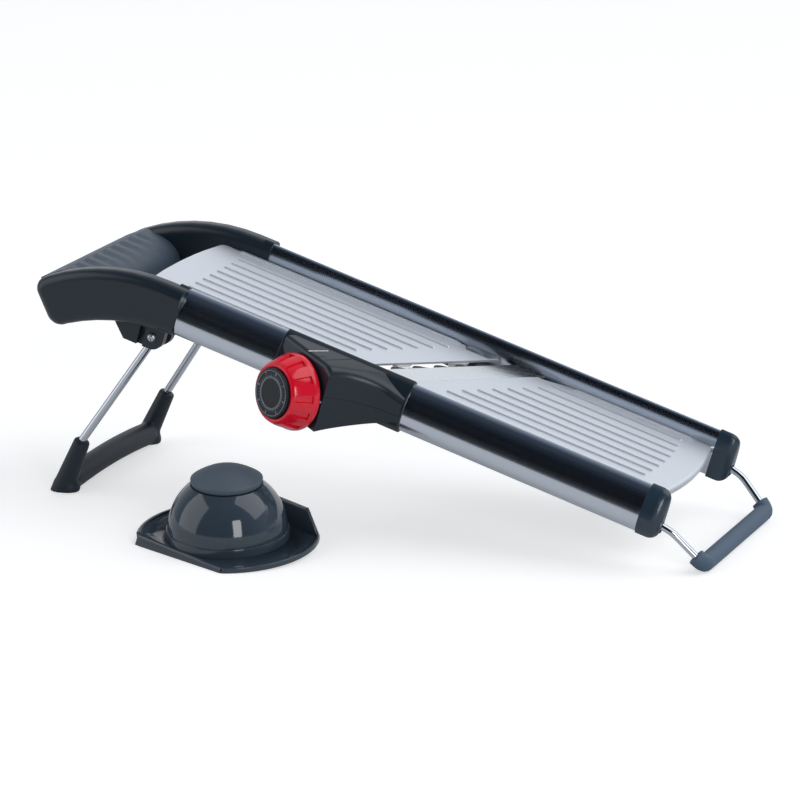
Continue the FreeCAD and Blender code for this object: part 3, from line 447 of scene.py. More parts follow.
rims = joined(plate_rim(-1, upper_half, ramp_rim_start, near_ramp_rim_stop, upper_level),
              plate_rim(1, upper_half, ramp_rim_start, notch.x - notch_length, upper_level))
ear_corners = ((-ear_half, ear_top), (-ear_half, ear_low), (ear_half, ear_low), (ear_half, ear_top),
               (ear_slot_half, ear_top), (ear_slot_half, ear_slot_low), (-ear_slot_half, ear_slot_low),
               (-ear_slot_half, ear_top))
for side in (-1, 1):
    ear = prism([(ear_x + x, side * (upper_half - plate_gauge), z) for x, z in ear_corners],
                (0, side * plate_gauge, 0))
    joined(rims, ear)
even_normals(made("upper_plate_rims", rims, slicer_place, brushed_steel, "ramp", "plate_steel"))

# Lifting shaft
# A turned steel shaft under the plate carries two acetal cams that bear on acetal pads glued under
# the sheet. Only a little of it shows, through the throat.

# Natural acetal: waxy white.
acetal = moulded("natural_acetal", "#f2f2f0", 0.45, 0.8, 0.1, 0.03)
# Turned steel: bright, with fine tool lines.
turned_steel = drawn_steel("turned_steel", "#c2c6ca", (0.22, 0.32), 0.6, 0.2)
dressed(turned_steel, "cam_shaft")
dressed(acetal, "lift_cams", "cam_pads")

# Knob housing
# Two nylon shells screwed together round the near rail. A flat face stands square to the knob,
# the top is a facet that falls away to a sleeve round the rail, and the shells meet in a fine line.

knob_skew = radians(27.5)
knob_back = Vector((81.63, -71.0, 2.5))
knob_out = Vector((-sin(knob_skew), -cos(knob_skew), 0))
knob_side = Vector((cos(knob_skew), -sin(knob_skew), 0))
housing_start, housing_end = 62.5, 138.0
housing_low, housing_high, housing_parting = -11.0, 25.6, 9.0
face_half = 20
boss_start, boss_root, boss_outside = housing_start + 6, -54.9, -57
boss_end, boss_waist = Vector((housing_end - 1.0, -63.6, 0)), Vector((112.0, -65.6, 0))
waist_corner, waist_round, waist_steps = 4, 16, 14
belly_slope = Vector((0.411, 0, -0.911))
top_slope, top_slope_start = Vector((0.28, -0.35, 0.89)).normalized(), Vector((112.2, -63.1, housing_high))
sleeve_skin = 1.3
parting_half = 0.08


def trimmed(bm, point, normal):
    """Cuts away what lies beyond a plane and closes the cut."""
    rim = cut(bm, bm.faces[:], point, normal, clear_outer=True)["geom_cut"]
    bmesh.ops.holes_fill(bm, edges=[g for g in rim if isinstance(g, bmesh.types.BMEdge)])
    bmesh.ops.recalc_face_normals(bm, faces=bm.faces)


def housing_shape():
    """The whole housing: boss and sleeve."""
    face = knob_back - knob_out
    left, right = face - knob_side * face_half, face + knob_side * face_half
    plan = [left, Vector((boss_start, boss_root, 0)), Vector((boss_end.x, boss_root, 0)), boss_end,
            boss_waist, right]
    boss = prism([(p.x, p.y, housing_low) for p in plan], (0, 0, housing_high - housing_low),
                 ((waist_corner, waist_round, waist_steps),))
    trimmed(boss, (right.x, 0, housing_low), belly_slope)
    trimmed(boss, top_slope_start, top_slope)
    upper = sharp_edges(boss, lambda p: p.z > 10 and p.y < boss_outside, 15)
    bevel(boss, [e for e in upper if abs(e.verts[0].co.z - e.verts[1].co.z) < 12], 2.6, 6)
    bevel(boss, sharp_edges(boss, lambda p: p.z < 0 and p.y < boss_outside - 1, 25), 4.5, 6)
    length = housing_end - housing_start
    sleeve = prism(rail_outline(housing_start, -1, sleeve_skin), (length, 0, 0), rail_rounds)
    bevel(sleeve, sharp_edges(sleeve, lambda p: abs(p.x - housing_start - length / 2) > length / 2 - 0.1),
          0.7, 2)
    return joined(boss, sleeve)


for half, keep in (("top", 1), ("bottom", -1)):
    shell = housing_shape()
    trimmed(shell, (0, 0, housing_parting + parting_half * keep), (0, 0, -keep))
    trimmed(shell, (0, -half_bay, 0), (0, 1, 0))
    if keep < 0:
        seam = sharp_edges(shell, lambda p: p.z > housing_parting - 0.1 and p.y < boss_outside)
        bevel(shell, seam, 0.35, 1)
    even_normals(made("housing_%s_shell_moulding" % half, shell, slicer_place, dark_nylon, "frame",
                      "dark_plastic", "housing_%s_shell" % half))

# Setting marks
# A white pointer line on the housing's top and a white index beside the knob, in pad-printed ink. A small
# slot and a fine crease line on the top are shallow moulded hollows, drawn as low raised bars in black:
# painted shade for the dark inside them.

mark_level = housing_high - 0.1
pointer_ends, pointer_width = ((81.6, -69.3), (88.4, -58.8)), 0.6
slot_ends, slot_width = ((87.7, -71.4), (90.5, -67.4)), 1.1
line_ends, line_width = ((92.4, -72.1), (101.4, -56.4)), 0.5
line_height, slot_height = 0.25, 0.2
index_corners, index_height = ((17.3, 2.9), (19.3, 2.9), (19.3, 3.7), (17.3, 3.7)), 0.2

# Pad-printing ink: flat white.
white_ink = moulded("white_pad_print", "#eef1f4", 0.5, 0.3, 0.1, 0.02)
# Satin black ABS: the knob cap's own colour, and also painted shade on the bars that stand for the
# housing's slot and crease.
black_abs_and_gap_shade = moulded("satin_black_abs_and_painted_gap_shade", "#0c131a", 0.42, 0.5, 0.2, shine=0.3)


def mark(ends, width, height):
    """A low bar between two points on the housing's top."""
    start, end = (Vector((*point, mark_level)) for point in ends)
    aside = (end - start).cross(Vector((0, 0, 1))).normalized() * width / 2
    bar = prism([start - aside, end - aside, end + aside, start + aside], (0, 0, height))
    bevel(bar, sharp_edges(bar, lambda p: True), height / 3, 2)
    return bar


pointer = mark(pointer_ends, pointer_width, line_height)
face = knob_back - knob_out
joined(pointer, prism([face + knob_side * along + Vector((0, 0, up)) for along, up in index_corners],
                      knob_out * index_height))
even_normals(made("pointer_line", pointer, slicer_place, white_ink, "frame", "dark_plastic"))
# Painted shade: black bars stand in for the dark of the slot and the crease.
painted_gap_shade_bars = joined(mark(slot_ends, slot_width, slot_height), mark(line_ends, line_width, line_height))
even_normals(made("painted_shade_slot_and_crease", painted_gap_shade_bars, slicer_place, black_abs_and_gap_shade, "frame", "dark_plastic"))

# Knob
# The red setting knob: polished ABS, moulded with twelve finger flutes that are closed at the back
# rim, and held on the end of the shaft by a screw under its cap.

knob_place = (slicer_place @ Matrix.Translation(knob_back)
              @ knob_out.to_track_quat("Z", "Y").to_matrix().to_4x4())
knob_steps = 96
knob_profile = ((3, 0), (19.7, 0.2), (20.3, 0.6), (20.5, 1.4), (20.4, 3.2), (20.1, 4.0), (19.5, 5.6),
                (18.7, 8.2), (17.6, 11.2), (16.5, 13.6), (15.9, 14.6), (15.1, 15.2), (13.9, 15.2),
                (13.55, 14.9), (13.5, 10.5), (3, 10.5), (3, 0))
flute_count, flute_half_steps = 12, 3.4
flute_inner, flute_low, flute_high = 15, 4.0, 14.3
flute_border, flute_draft, flute_depth = 0.42, 0.25, 1.15

# Polished ABS: saturated red under a clear, sharp gloss.
red_abs = moulded("polished_red_abs", "#e2142f", 0.13, 0.6, 0.03, 0.05)


def turned(profile, steps):
    """Turns a line of (radius, height) points round the z axis."""
    bm = bmesh.new()
    line = [bm.verts.new((r, 0, z)) for r, z in profile]
    edges = [bm.edges.new(pair) for pair in zip(line, line[1:])]
    bmesh.ops.spin(bm, geom=line + edges, cent=(0, 0, 0), axis=(0, 0, 1), dvec=(0, 0, 0),
                   angle=2 * pi, steps=steps, use_merge=True, use_duplicate=False)
    bmesh.ops.remove_doubles(bm, verts=bm.verts, dist=0.001)
    bmesh.ops.recalc_face_normals(bm, faces=bm.faces)
    return bm


def in_flute(face, spoke):
    """Whether a face of the knob's skirt lies in the flute round a spoke."""
    centre = face.calc_center_median()
    return (flute_low < centre.z < flute_high and centre.xy.length > flute_inner
            and centre.xy.normalized().dot(spoke) > cos(pi / knob_steps * flute_half_steps))


knob = turned(knob_profile, knob_steps)
for index in range(flute_count):
    middle = 2 * pi * (index + 0.5) / flute_count
    flute = [f for f in knob.faces if in_flute(f, Vector((cos(middle), sin(middle))))]
    for thickness, depth in ((flute_border, 0), (flute_draft, -flute_depth)):
        bmesh.ops.inset_region(knob, faces=flute, thickness=thickness, depth=depth, use_even_offset=True)
even_normals(made("setting_knob", knob, knob_place, red_abs, "dial", "red_plastic", "knob", crease=32))

# Knob cap
# A disc pressed into the knob and standing a little proud of it, moulded with three fine rings, a
# ring of ticks and plain scale numbers. Black ABS, its raised figures slightly worn.

cap_seat, cap_top, cap_radius = 10.5, 17.0, 13.4
figure_low, figure_high = cap_top - 0.1, cap_top + 0.12
ring_radii, ring_half = (11.9, 8.6, 8.0), 0.12
tick_count, tick_start, tick_end, tick_half = 36, 9.0, 9.7, 0.09
number_count, number_radius, number_size = 8, 10.7, 2.4

# The same ABS where the raised figures have rubbed paler.
rubbed_abs = moulded("rubbed_abs", "#8a949e", 0.5, 0.5, 0.2)

cap = turned(((0.0, cap_seat), (cap_radius, cap_seat), (cap_radius, cap_top - 1.0),
              (cap_radius - 0.3, cap_top - 0.3), (cap_radius - 1.0, cap_top), (0.0, cap_top)), knob_steps)
even_normals(made("knob_cap_disc", cap, knob_place, black_abs_and_gap_shade, "dial", "cap_plastic", "knob_cap"))
figures = bmesh.new()
for radius in ring_radii:
    ring = turned(((radius - ring_half, figure_low), (radius - ring_half, figure_high),
                   (radius + ring_half, figure_high), (radius + ring_half, figure_low)), knob_steps)
    joined(figures, ring)
for index in range(tick_count):
    tick = prism([(tick_start, -tick_half, figure_low), (tick_end, -tick_half, figure_low),
                  (tick_end, tick_half, figure_low), (tick_start, tick_half, figure_low)],
                 (0, 0, figure_high - figure_low))
    bmesh.ops.rotate(tick, cent=(0, 0, 0), matrix=Matrix.Rotation(2 * pi * index / tick_count, 3, "Z"),
                     verts=tick.verts)
    joined(figures, tick)
for number in range(number_count):
    text = bpy.data.curves.new("scale_number", "FONT")
    text.body = str(number)
    text.size = number_size
    text.align_x, text.align_y = "CENTER", "CENTER"
    text.extrude = 0.1
    holder = bpy.data.objects.new("scale_number", text)
    letters = bpy.data.meshes.new_from_object(holder)
    bpy.data.objects.remove(holder)
    angle = -2 * pi * number / number_count
    letters.transform(Matrix.Translation((0, 0, cap_top)) @ Matrix.Rotation(angle, 4, "Z")
                      @ Matrix.Translation((0, number_radius, 0)))
    figures.from_mesh(letters)
    bpy.data.meshes.remove(letters)
made("cap_figures", figures, knob_place, rubbed_abs, "dial", "cap_plastic", closed=False)

# Handle
# Two arms that carry the rails' rear ends and sweep down to a crossbar. One nylon moulding, its
# edges well rounded, its front ends lapped over the rails.

arm_lap, arm_lip, arm_proud = 2.5, 3.0, 0.8
arm_sweep = 112.0
arm_crown = Vector((-8.0, 0, 25.4))
arm_rear, arm_foot = -83.0, -65.0
arm_inner, arm_outer = half_bay - arm_proud, half_bay + rail_bulge + arm_proud
tip_round, arm_round, mouth_round = 7.0, 5.6, 0.35
arc_steps = 8


def swept(x, crown_x, crown_z):
    """Height of an arm's arc, which is level at its crown and falls to the rear."""
    return crown_z - arm_sweep + sqrt(arm_sweep ** 2 - (x - crown_x) ** 2)


def arm_side(y):
    """Side view of an arm as a flat face between its two arcs."""
    bm = bmesh.new()
    top, toe = (bm.verts.new((x, y, z)) for x, z in ((arm_crown.x, arm_crown.z), (arm_lip, -arm_proud)))
    tips = []
    for start, end_x in ((top, arm_rear), (toe, arm_foot)):
        arc = bmesh.ops.spin(bm, geom=[start], cent=start.co - Vector((0, 0, arm_sweep)), axis=(0, 1, 0),
                             dvec=(0, 0, 0), angle=-asin((start.co.x - end_x) / arm_sweep), steps=arc_steps)
        tips += [g for g in arc["geom_last"] if isinstance(g, bmesh.types.BMVert)]
    lip = bm.verts.new((arm_lip, y, arm_crown.z))
    for pair in ((lip, top), (lip, toe), tips):
        bm.edges.new(pair)
    bmesh.ops.contextual_create(bm, geom=bm.edges[:])
    bevel(bm, tips, tip_round, 8, "VERTICES")
    return bm


def arm(side):
    bm = arm_side(side * arm_inner)
    drawn_out(bm, bm.faces[:], (0, side * (arm_outer - arm_inner), 0))
    bmesh.ops.recalc_face_normals(bm, faces=bm.faces)
    long_edges = [e for e in sharp_edges(bm, lambda p: p.x < arm_lip + 0.1, 50)
                  if abs(e.verts[0].co.y - e.verts[1].co.y) < 0.01
                  and abs(e.verts[0].co.x - e.verts[1].co.x) > 0.01]
    bevel(bm, long_edges, arm_round, 8, clamp=False)
    bevel(bm, sharp_edges(bm, lambda p: p.x > arm_lip - 0.1, 50), mouth_round, 2)
    return bm


handle = joined(arm(-1), arm(1))
for side in (-1, 1):
    lap = prism(rail_outline(-arm_lap, side, arm_proud), (arm_lap + arm_lip, 0, 0), rail_rounds)
    joined(handle, lap)
even_normals(made("handle_arms", handle, slicer_place, dark_nylon, "frame", "dark_plastic", "handle"))

# Grip
# The soft pad over-moulded round the crossbar: thermoplastic rubber with finger ripples across it
# and an oval end against each arm.

grip_middle = Vector((-62.5, 0, -7.5))
grip_half_width, grip_half_height, grip_end = 16.8, 13.0, arm_inner + 2
grip_rear_run, grip_run_steps, grip_length_steps = 20, 20, 120
grip_rear_round = 4.0
ripple_pitch, ripple_depth, ripple_fade = 10.6, 0.75, 6
# Thermoplastic rubber: dull slate blue.
grip_rubber = moulded("thermoplastic_grip_rubber", "#3c4a58", 0.5, 0.6, 0.3)


def loose_ends(bm):
    return [v for v in bm.verts if len(v.link_edges) == 1]


def cut_line(bm, point, normal):
    """Cuts away what lies of an outline beyond a plane."""
    bmesh.ops.bisect_plane(bm, geom=bm.verts[:] + bm.edges[:], plane_co=point, plane_no=normal,
                           clear_outer=True)


def clamped(value):
    return max(0.0, min(1.0, value))


def ripple_share(out, y):
    """How deep the ripples are: full on the rear and upper side, fading out to the arms."""
    high = clamped((out.z / grip_half_height + 0.25) * 1.2)
    rear = clamped(min(0.75 - out.x / grip_half_width, (out.x + 17) / 6))
    inside = clamped((arm_inner - ripple_fade - abs(y)) / ripple_fade)
    return high * rear * inside


grip = bmesh.new()
bmesh.ops.create_circle(grip, segments=64, radius=1)
moved(grip, Matrix.Translation(grip_middle - Vector((0, grip_end, 0))) @ Matrix.Rotation(pi / 2, 4, "X")
      @ Matrix.Diagonal((grip_half_width, grip_half_height, 1, 1)))
cut_line(grip, grip_middle, (-1, 0, 0))
runs = bmesh.ops.extrude_vert_indiv(grip, verts=loose_ends(grip))
bmesh.ops.translate(grip, verts=runs["verts"], vec=(-grip_rear_run, 0, 0))
bmesh.ops.subdivide_edges(grip, edges=runs["edges"], cuts=grip_run_steps - 1)
for vert in grip.verts:
    vert.co.z = min(vert.co.z, swept(vert.co.x, arm_crown.x, arm_crown.z) - 0.1)
    vert.co.z = max(vert.co.z, swept(vert.co.x, arm_lip, -arm_proud) + 1.5)
rear_top = Vector((arm_rear, 0, swept(arm_rear, arm_crown.x, arm_crown.z)))
rear_foot = Vector((arm_foot, 0, swept(arm_foot, arm_lip, -arm_proud)))
cut_line(grip, rear_top, Vector((0, 1, 0)).cross(rear_foot - rear_top).normalized())
ends = loose_ends(grip)
grip.edges.new(ends)
bmesh.ops.contextual_create(grip, geom=grip.edges[:])
bevel(grip, ends, grip_rear_round, 6, "VERTICES")
drawn_out(grip, grip.faces[:], (0, 2 * grip_end, 0))
long_edges = [e for e in grip.edges if e.calc_length() > grip_end]
bmesh.ops.subdivide_edges(grip, edges=long_edges, cuts=grip_length_steps - 1, use_grid_fill=True)
for vert in grip.verts:
    out = (vert.co - grip_middle) * Vector((1, 0, 1))
    wave = 0.5 - 0.5 * cos(2 * pi * vert.co.y / ripple_pitch)
    vert.co -= out.normalized() * ripple_depth * wave * ripple_share(out, vert.co.y)
made("grip_moulding", grip, slicer_place, grip_rubber, "frame", "grip_rubber", "grip_pad", crease=60)

# Leg brackets
# Two nylon forks under the handle's arms, each with a slot down its outer face behind the pivot.
# A plated cross-recess screw through each fork holds the leg's eye.

fork_slot_x, fork_slot_z, fork_slot_half = (-19.3, -15.8), (-17.5, -5.4), 1.5
fork_slot_y, screw_seat, screw_turn = 51.5, 52.4, 0.5
screw_profile = ((0, -14), (2.0, -14), (2.0, -0.4), (2.4, -0.4), (2.55, 0.0), (2.4, 0.7), (1.9, 1.4),
                 (1.1, 1.8), (0, 1.9))
recess_reach, recess_half, recess_floor, recess_top = 1.6, 0.3, 0.9, 4


def softened(node, place, radius, steps, angle=35):
    """A CAD piece with its sharp edges broken, as a mesh in mm."""
    bm = bmesh.new()
    bm.from_mesh(frame["nodes"][node].data)
    moved(bm, place.inverted())
    bmesh.ops.remove_doubles(bm, verts=bm.verts, dist=0.002)
    bmesh.ops.dissolve_limit(bm, angle_limit=radians(1.5), verts=bm.verts, edges=bm.edges)
    bevel(bm, sharp_edges(bm, lambda p: True, angle), radius, steps)
    return bm


def slotted(bm, low, high):
    """Cuts a box-shaped slot out of a solid."""
    box = bmesh.new()
    bmesh.ops.create_cube(box, size=1)
    moved(box, Matrix.Translation((low + high) / 2) @ Matrix.Diagonal([*(high - low), 1]))
    whole, tool = (placed("slotted", mesh_of(shape, "slotted")) for shape in (bm, box))
    slot = whole.modifiers.new("slot", "BOOLEAN")
    slot.operation, slot.solver, slot.object = "DIFFERENCE", "EXACT", tool
    result = bpy.data.meshes.new_from_object(whole.evaluated_get(bpy.context.evaluated_depsgraph_get()))
    bm = bmesh.new()
    bm.from_mesh(result)
    for mesh in (whole.data, tool.data, result):
        bpy.data.meshes.remove(mesh)
    return bm


for side, where in ((-1, "near"), (1, "far")):
    fork = softened(where + "_leg_bracket", slicer_place, 0.5, 2)
    low, high = (Vector((x, side * fork_slot_y + y, z)) for x, y, z in zip(
        fork_slot_x, (-fork_slot_half, fork_slot_half), fork_slot_z))
    even_normals(made(where + "_bracket_fork", slotted(fork, low, high), slicer_place, dark_nylon, "frame",
                      "dark_plastic", where + "_leg_bracket"))

screws = bmesh.new()
for side in (-1, 1):
    screw = turned(screw_profile, 48)
    for reach in (Vector((recess_reach, recess_half, 0)), Vector((recess_half, recess_reach, 0))):
        screw = slotted(screw, Vector((0, 0, recess_floor)) - reach, Vector((0, 0, recess_top)) + reach)
    moved(screw, Matrix.Translation(leg_hinge + Vector((0, side * screw_seat, 0)))
          @ Matrix.Rotation(-side * pi / 2, 4, "X") @ Matrix.Rotation(screw_turn, 4, "Z"))
    joined(screws, screw)
made("pivot_screw_heads", screws, slicer_place, plated_steel, "frame", "screw_steel", "leg_pivot_screws")

# Leg
# Two polished wires, spread a little, pushed into a moulded rubber foot. Its sockets taper up the
# wires from two rounded toes, and a low arched bar joins them.

foot_spot = slicer_place @ Vector((-40.5, 0, -114.2))
foot_place = Matrix.Translation(foot_spot * Vector((1, 1, 0))) @ Matrix.Scale(mm, 4)
toe_y = 50.0
toe_middle, toe_size = Vector((3.2, toe_y, 2.4)), (8.0, 6.4, 7.4, 1)
bar_end, bar_arch, bar_steps = 47.5, 2.4, 24
bar_section = ((-5.5, 0), (8.6, 0), (11.0, 5.5), (9.0, 12.6), (2.2, 13.0))
bar_rounds = ((0, 1.5, 3), (1, 1.5, 3), (2, 3, 4), (3, 3, 4), (4, 3, 4))
socket_root, socket_mouth = Vector((-0.8, toe_y, -3)), Vector((14.8, 52.4, 30.4))
root_radius, mouth_radius = 6.4, 4.5
skin_voxel, skin_passes = 0.6, 28

# Polished wire: bright, hard reflections in stripes along it.
bright_wire = drawn_steel("polished_wire", "#b4b9c0", (0.06, 0.14), 1.0, 0.1)
# Moulded rubber: almost black with a blue cast, dull.
foot_rubber = moulded("moulded_foot_rubber", "#101d29", 0.5, 0.7, 0.3, 0.12, 0.4)
dressed(bright_wire, "leg_wires")

bar = prism([(x, -bar_end, z) for x, z in bar_section], (0, 2 * bar_end, 0), bar_rounds)
long_edges = [e for e in bar.edges if e.calc_length() > bar_end]
bmesh.ops.subdivide_edges(bar, edges=long_edges, cuts=bar_steps - 1, use_grid_fill=True)
for vert in bar.verts:
    vert.co.z += bar_arch * (1 - (vert.co.y / toe_y) ** 2)
for side in (-1, 1):
    mirror = Vector((1, side, 1))
    low, high = socket_root * mirror, socket_mouth * mirror
    socket = bmesh.new()
    bmesh.ops.create_cone(socket, cap_ends=True, segments=48, radius1=root_radius, radius2=mouth_radius,
                          depth=(high - low).length)
    moved(socket, Matrix.Translation((low + high) / 2)
          @ (high - low).to_track_quat("Z", "Y").to_matrix().to_4x4())
    toe = bmesh.new()
    bmesh.ops.create_uvsphere(toe, u_segments=48, v_segments=24, radius=1)
    moved(toe, Matrix.Translation(toe_middle * mirror) @ Matrix.Diagonal(toe_size))
    for shape in (socket, toe):
        trimmed(shape, (0, 0, 0), (0, 0, -1))
        joined(bar, shape)
foot = made("rubber_foot_moulding", bar, foot_place, foot_rubber, "leg", "foot_rubber", "rubber_foot")
skin = foot.modifiers.new("skin", "REMESH")
skin.mode = "VOXEL"
skin.voxel_size = skin_voxel * mm
skin.use_smooth_shade = True
soft = foot.modifiers.new("soft", "SMOOTH")
soft.factor = 0.5
soft.iterations = skin_passes

# End caps
# Nylon plugs that close the rails' front ends, full and round at the front. A slot from below lets
# the bail's wire swing on a stub that is moulded into each cap.

cap_skin, cap_straight, cap_nose = 0.8, 6.0, 5.8
cap_steps = 8
cap_middle, cap_squeeze = Vector((0, half_bay + 5.2, 12.8)), Vector((0, 0.78, 0.36))
bail_pivot = Vector((rail_length + 6.0, half_bay + 4.9, 6.8))
slot_half, slot_low, slot_front = 2.2, -9, 12

# The same nylon, smoother, with a clear highlight along its round nose; its colour is painted a little
# paler, painted light for the caps' lit front faces.
cap_nylon_painted_paler = moulded("satin_cap_nylon_painted_paler", "#263644", 0.26, 0.5, 0.2)

for side, where in ((-1, "near"), (1, "far")):
    cap = prism(rail_outline(rail_length, side, cap_skin), (cap_straight, 0, 0), rail_rounds)
    bevel(cap, sharp_edges(cap, lambda p: p.x < rail_length + 0.1, 50), 0.25, 2)
    ends = [f for f in cap.faces if f.calc_center_median().x > rail_length + cap_straight - 0.1]
    centre = cap_middle * Vector((1, side, 1))
    shape = Vector((1, 1, 1))
    for step in range(cap_steps):
        start, stop = (pi / 2 * index / cap_steps for index in (step, step + 1))
        ends = drawn_out(cap, ends, (cap_nose * (sin(stop) - sin(start)), 0, 0))
        shrunk = Vector((1, 1, 1)) - cap_squeeze * (1 - cos(stop))
        bmesh.ops.scale(cap, vec=[new / old for new, old in zip(shrunk, shape)],
                        space=Matrix.Translation(-centre), verts=ends[0].verts)
        shape = shrunk
    middle = Vector((bail_pivot.x, side * bail_pivot.y, 0))
    cap = slotted(cap, middle + Vector((-slot_half, -slot_half, slot_low)),
                  middle + Vector((slot_front, slot_half, bail_pivot.z + slot_half)))
    even_normals(made(where + "_end_plug", cap, slicer_place, cap_nylon_painted_paler, "frame", "dark_plastic",
                      where + "_end_cap"))

# Bail
# A bent wire stand at the front, swung in the end caps, with a soft rubber sleeve pushed onto its
# cross run and round its two corners.

bail_corner = Vector((rail_length + 37.2, half_bay, -5.9))
bail_leg = (Vector((rail_length + 17, bail_pivot.y, 6.0)) - bail_corner).normalized()
cross_run = bail_corner - Vector((0, 7, 0))
wire_radius = 1.9
sleeve_radius, sleeve_return, sleeve_wall, bore_depth = 4.6, 5.5, 1.0, 3.0

# Soft rubber tube: dull slate blue.
sleeve_rubber = moulded("soft_sleeve_rubber", "#465a6e", 0.6, 0.7, 0.3)


def tube(half, radius):
    """A round bar along a smooth line through one half's guide points and their mirror images."""
    route = half + [point * Vector((1, -1, 1)) for point in reversed(half)]
    curve = bpy.data.curves.new("tube", "CURVE")
    curve.dimensions = "3D"
    curve.bevel_depth, curve.bevel_resolution, curve.resolution_u = radius, 6, 16
    curve.use_fill_caps = True
    line = curve.splines.new("NURBS")
    line.points.add(len(route) - 1)
    for guide, point in zip(line.points, route):
        guide.co = (*point, 1)
    line.order_u, line.use_endpoint_u = 3, True
    holder = bpy.data.objects.new("tube", curve)
    mesh = bpy.data.meshes.new_from_object(holder)
    bpy.data.curves.remove(curve)
    bm = bmesh.new()
    bm.from_mesh(mesh)
    bpy.data.meshes.remove(mesh)
    bmesh.ops.remove_doubles(bm, verts=bm.verts, dist=0.001)
    return bm


def end_faces(bm):
    return [f for f in bm.faces if len(f.verts) > 8]


wire = tube([bail_pivot + Vector((-1.0, 0, 0.1)), bail_pivot + Vector((9.5, 0, -0.1)),
             bail_corner + bail_leg * 14, bail_corner + bail_leg * 6, bail_corner, cross_run], wire_radius)
made("bail_wire_bend", wire, slicer_place, bright_wire, "bail", "wire_steel", "bail_wire")
sleeve = tube([bail_corner + bail_leg * sleeve_return, bail_corner, cross_run], sleeve_radius)
bevel(sleeve, [e for f in end_faces(sleeve) for e in f.edges], 0.7, 3)
mouths = end_faces(sleeve)
bmesh.ops.inset_individual(sleeve, faces=mouths, thickness=sleeve_wall)
bmesh.ops.inset_individual(sleeve, faces=mouths, thickness=0.1, depth=-bore_depth)
even_normals(made("bail_sleeve_moulding", sleeve, slicer_place, sleeve_rubber, "bail", "sleeve_rubber",
                  "bail_sleeve"))

# Pusher hood
# The hand guard that stands beside the slicer: one polished ABS shell with a dome for the hand, a
# ring at its base, a brim with a raised rim, a near lip and a far wall that run on the rails.

pusher_turn, lean_way, lean = radians(-24), radians(-50), radians(4.5)
pusher_offset = Vector((67.786, -103.1, 0)) * mm
pusher_spot = Vector(joints["leg_fold"]["pos_m"]) * Vector((1, 1, 0)) + pusher_offset
lean_axis = Vector((-sin(lean_way), cos(lean_way), 0))
pusher_place = (Matrix.Translation(pusher_spot) @ Matrix.Rotation(pusher_turn, 4, "Z")
                @ Matrix.Rotation(lean, 4, lean_axis) @ Matrix.Scale(mm, 4))
dome_radius, dome_centre, dome_top, dome_gauge = 31.6, 9.2, 34.4, 2.0
stem_hole = 7.3
ring_radius, ring_top, ring_inner = 32.4, 10.1, 29.0
hood_steps = 128
brim_radius, brim_inner, brim_half, brim_level, brim_gauge = 46.2, 31.0, 32.4, 5.6, 1.8
brim_rim = ((0, 0, 0.5), (0, 0, 0.3))
near_lip = ((0, -0.4, 0.6), (0, -0.9, -0.3), (0, -2.2, -5.0))
far_wall, wall_narrowing = ((0, 0, 0.8), (0, 0, 12.2)), 26.0 / 34.0
floor_clear = 0.2

# Polished ABS: dark slate with clear reflections.
slate_abs = moulded("polished_slate_abs", "#35414c", 0.09, 0.6, 0.04, 0.06)

dome = bmesh.new()
low_angle, high_angle = (asin((z - dome_centre) / dome_radius) for z in (ring_top, dome_top))
arc_start = dome.verts.new((dome_radius * cos(low_angle), 0, ring_top))
bmesh.ops.spin(dome, geom=[arc_start], cent=(0, 0, dome_centre), axis=(0, 1, 0), dvec=(0, 0, 0),
               angle=low_angle - high_angle, steps=24)
arc = sorted(((v.co.x, v.co.z) for v in dome.verts), key=lambda point: point[1])
dome.free()
dome = turned([(ring_inner, brim_level - 2), (ring_radius, brim_level - 0.5), (ring_radius, ring_top - 0.5),
               (ring_radius - 0.2, ring_top - 0.1), (ring_radius - 0.5, ring_top)] + arc
              + [(stem_hole, dome_top)], hood_steps)
solid_sheet(even_normals(made("hood_dome", dome, pusher_place, slate_abs, "pusher", "pusher_plastic",
                              "pusher_hood", closed=False)), dome_gauge)

brim = bmesh.new()
bmesh.ops.create_circle(brim, segments=hood_steps, radius=brim_radius, cap_ends=False)
bmesh.ops.create_circle(brim, segments=hood_steps, radius=brim_inner, cap_ends=False)
bmesh.ops.bridge_loops(brim, edges=brim.edges[:])
for side in (-1, 1):
    cut(brim, brim.faces[:], (0, side * brim_half, 0), (0, side, 0), clear_outer=True)
bmesh.ops.translate(brim, verts=brim.verts, vec=(0, 0, brim_level))
brim.normal_update()
for face in brim.faces:
    if face.normal.z < 0:
        face.normal_flip()


def brim_border(test):
    return [e for e in brim.edges if e.is_boundary and all(v.co.xy.length > brim_inner + 0.5 and test(v.co)
                                                           for v in e.verts)]


near_edge = brim_border(lambda p: abs(p.y + brim_half) < 0.01)
far_edge = brim_border(lambda p: abs(p.y - brim_half) < 0.01)
arcs = [e for e in brim_border(lambda p: True) if e not in near_edge + far_edge]
folded(brim, arcs, *brim_rim)
folded(brim, near_edge, *near_lip)
for vert in folded(brim, far_edge, *far_wall):
    vert.co.x *= wall_narrowing
to_hood = pusher_place.inverted()
floor_point = to_hood @ (pusher_spot + Vector((0, 0, floor_clear * mm)))
cut(brim, brim.faces[:], floor_point, to_hood.to_3x3() @ Vector((0, 0, -mm)), clear_outer=True)
solid_sheet(made("hood_brim", brim, pusher_place, slate_abs, "pusher", "pusher_plastic", closed=False,
                 crease=45), brim_gauge)

# Plunger
# A palm disc on a stem that slides through the dome and carries a plate of steel prongs inside.
# Moulded ABS, the disc coated with soft-touch rubber, the prongs pressed into their plate.

disc_profile = ((0, 34.7), (17.5, 34.7), (18.2, 34.9), (18.45, 35.4), (18.95, 37.2), (18.85, 37.7),
                (18.2, 38.2), (16.8, 39.1), (14.5, 40.4), (11.5, 41.9), (7.5, 43.3), (4.0, 44.1), (0, 44.4))

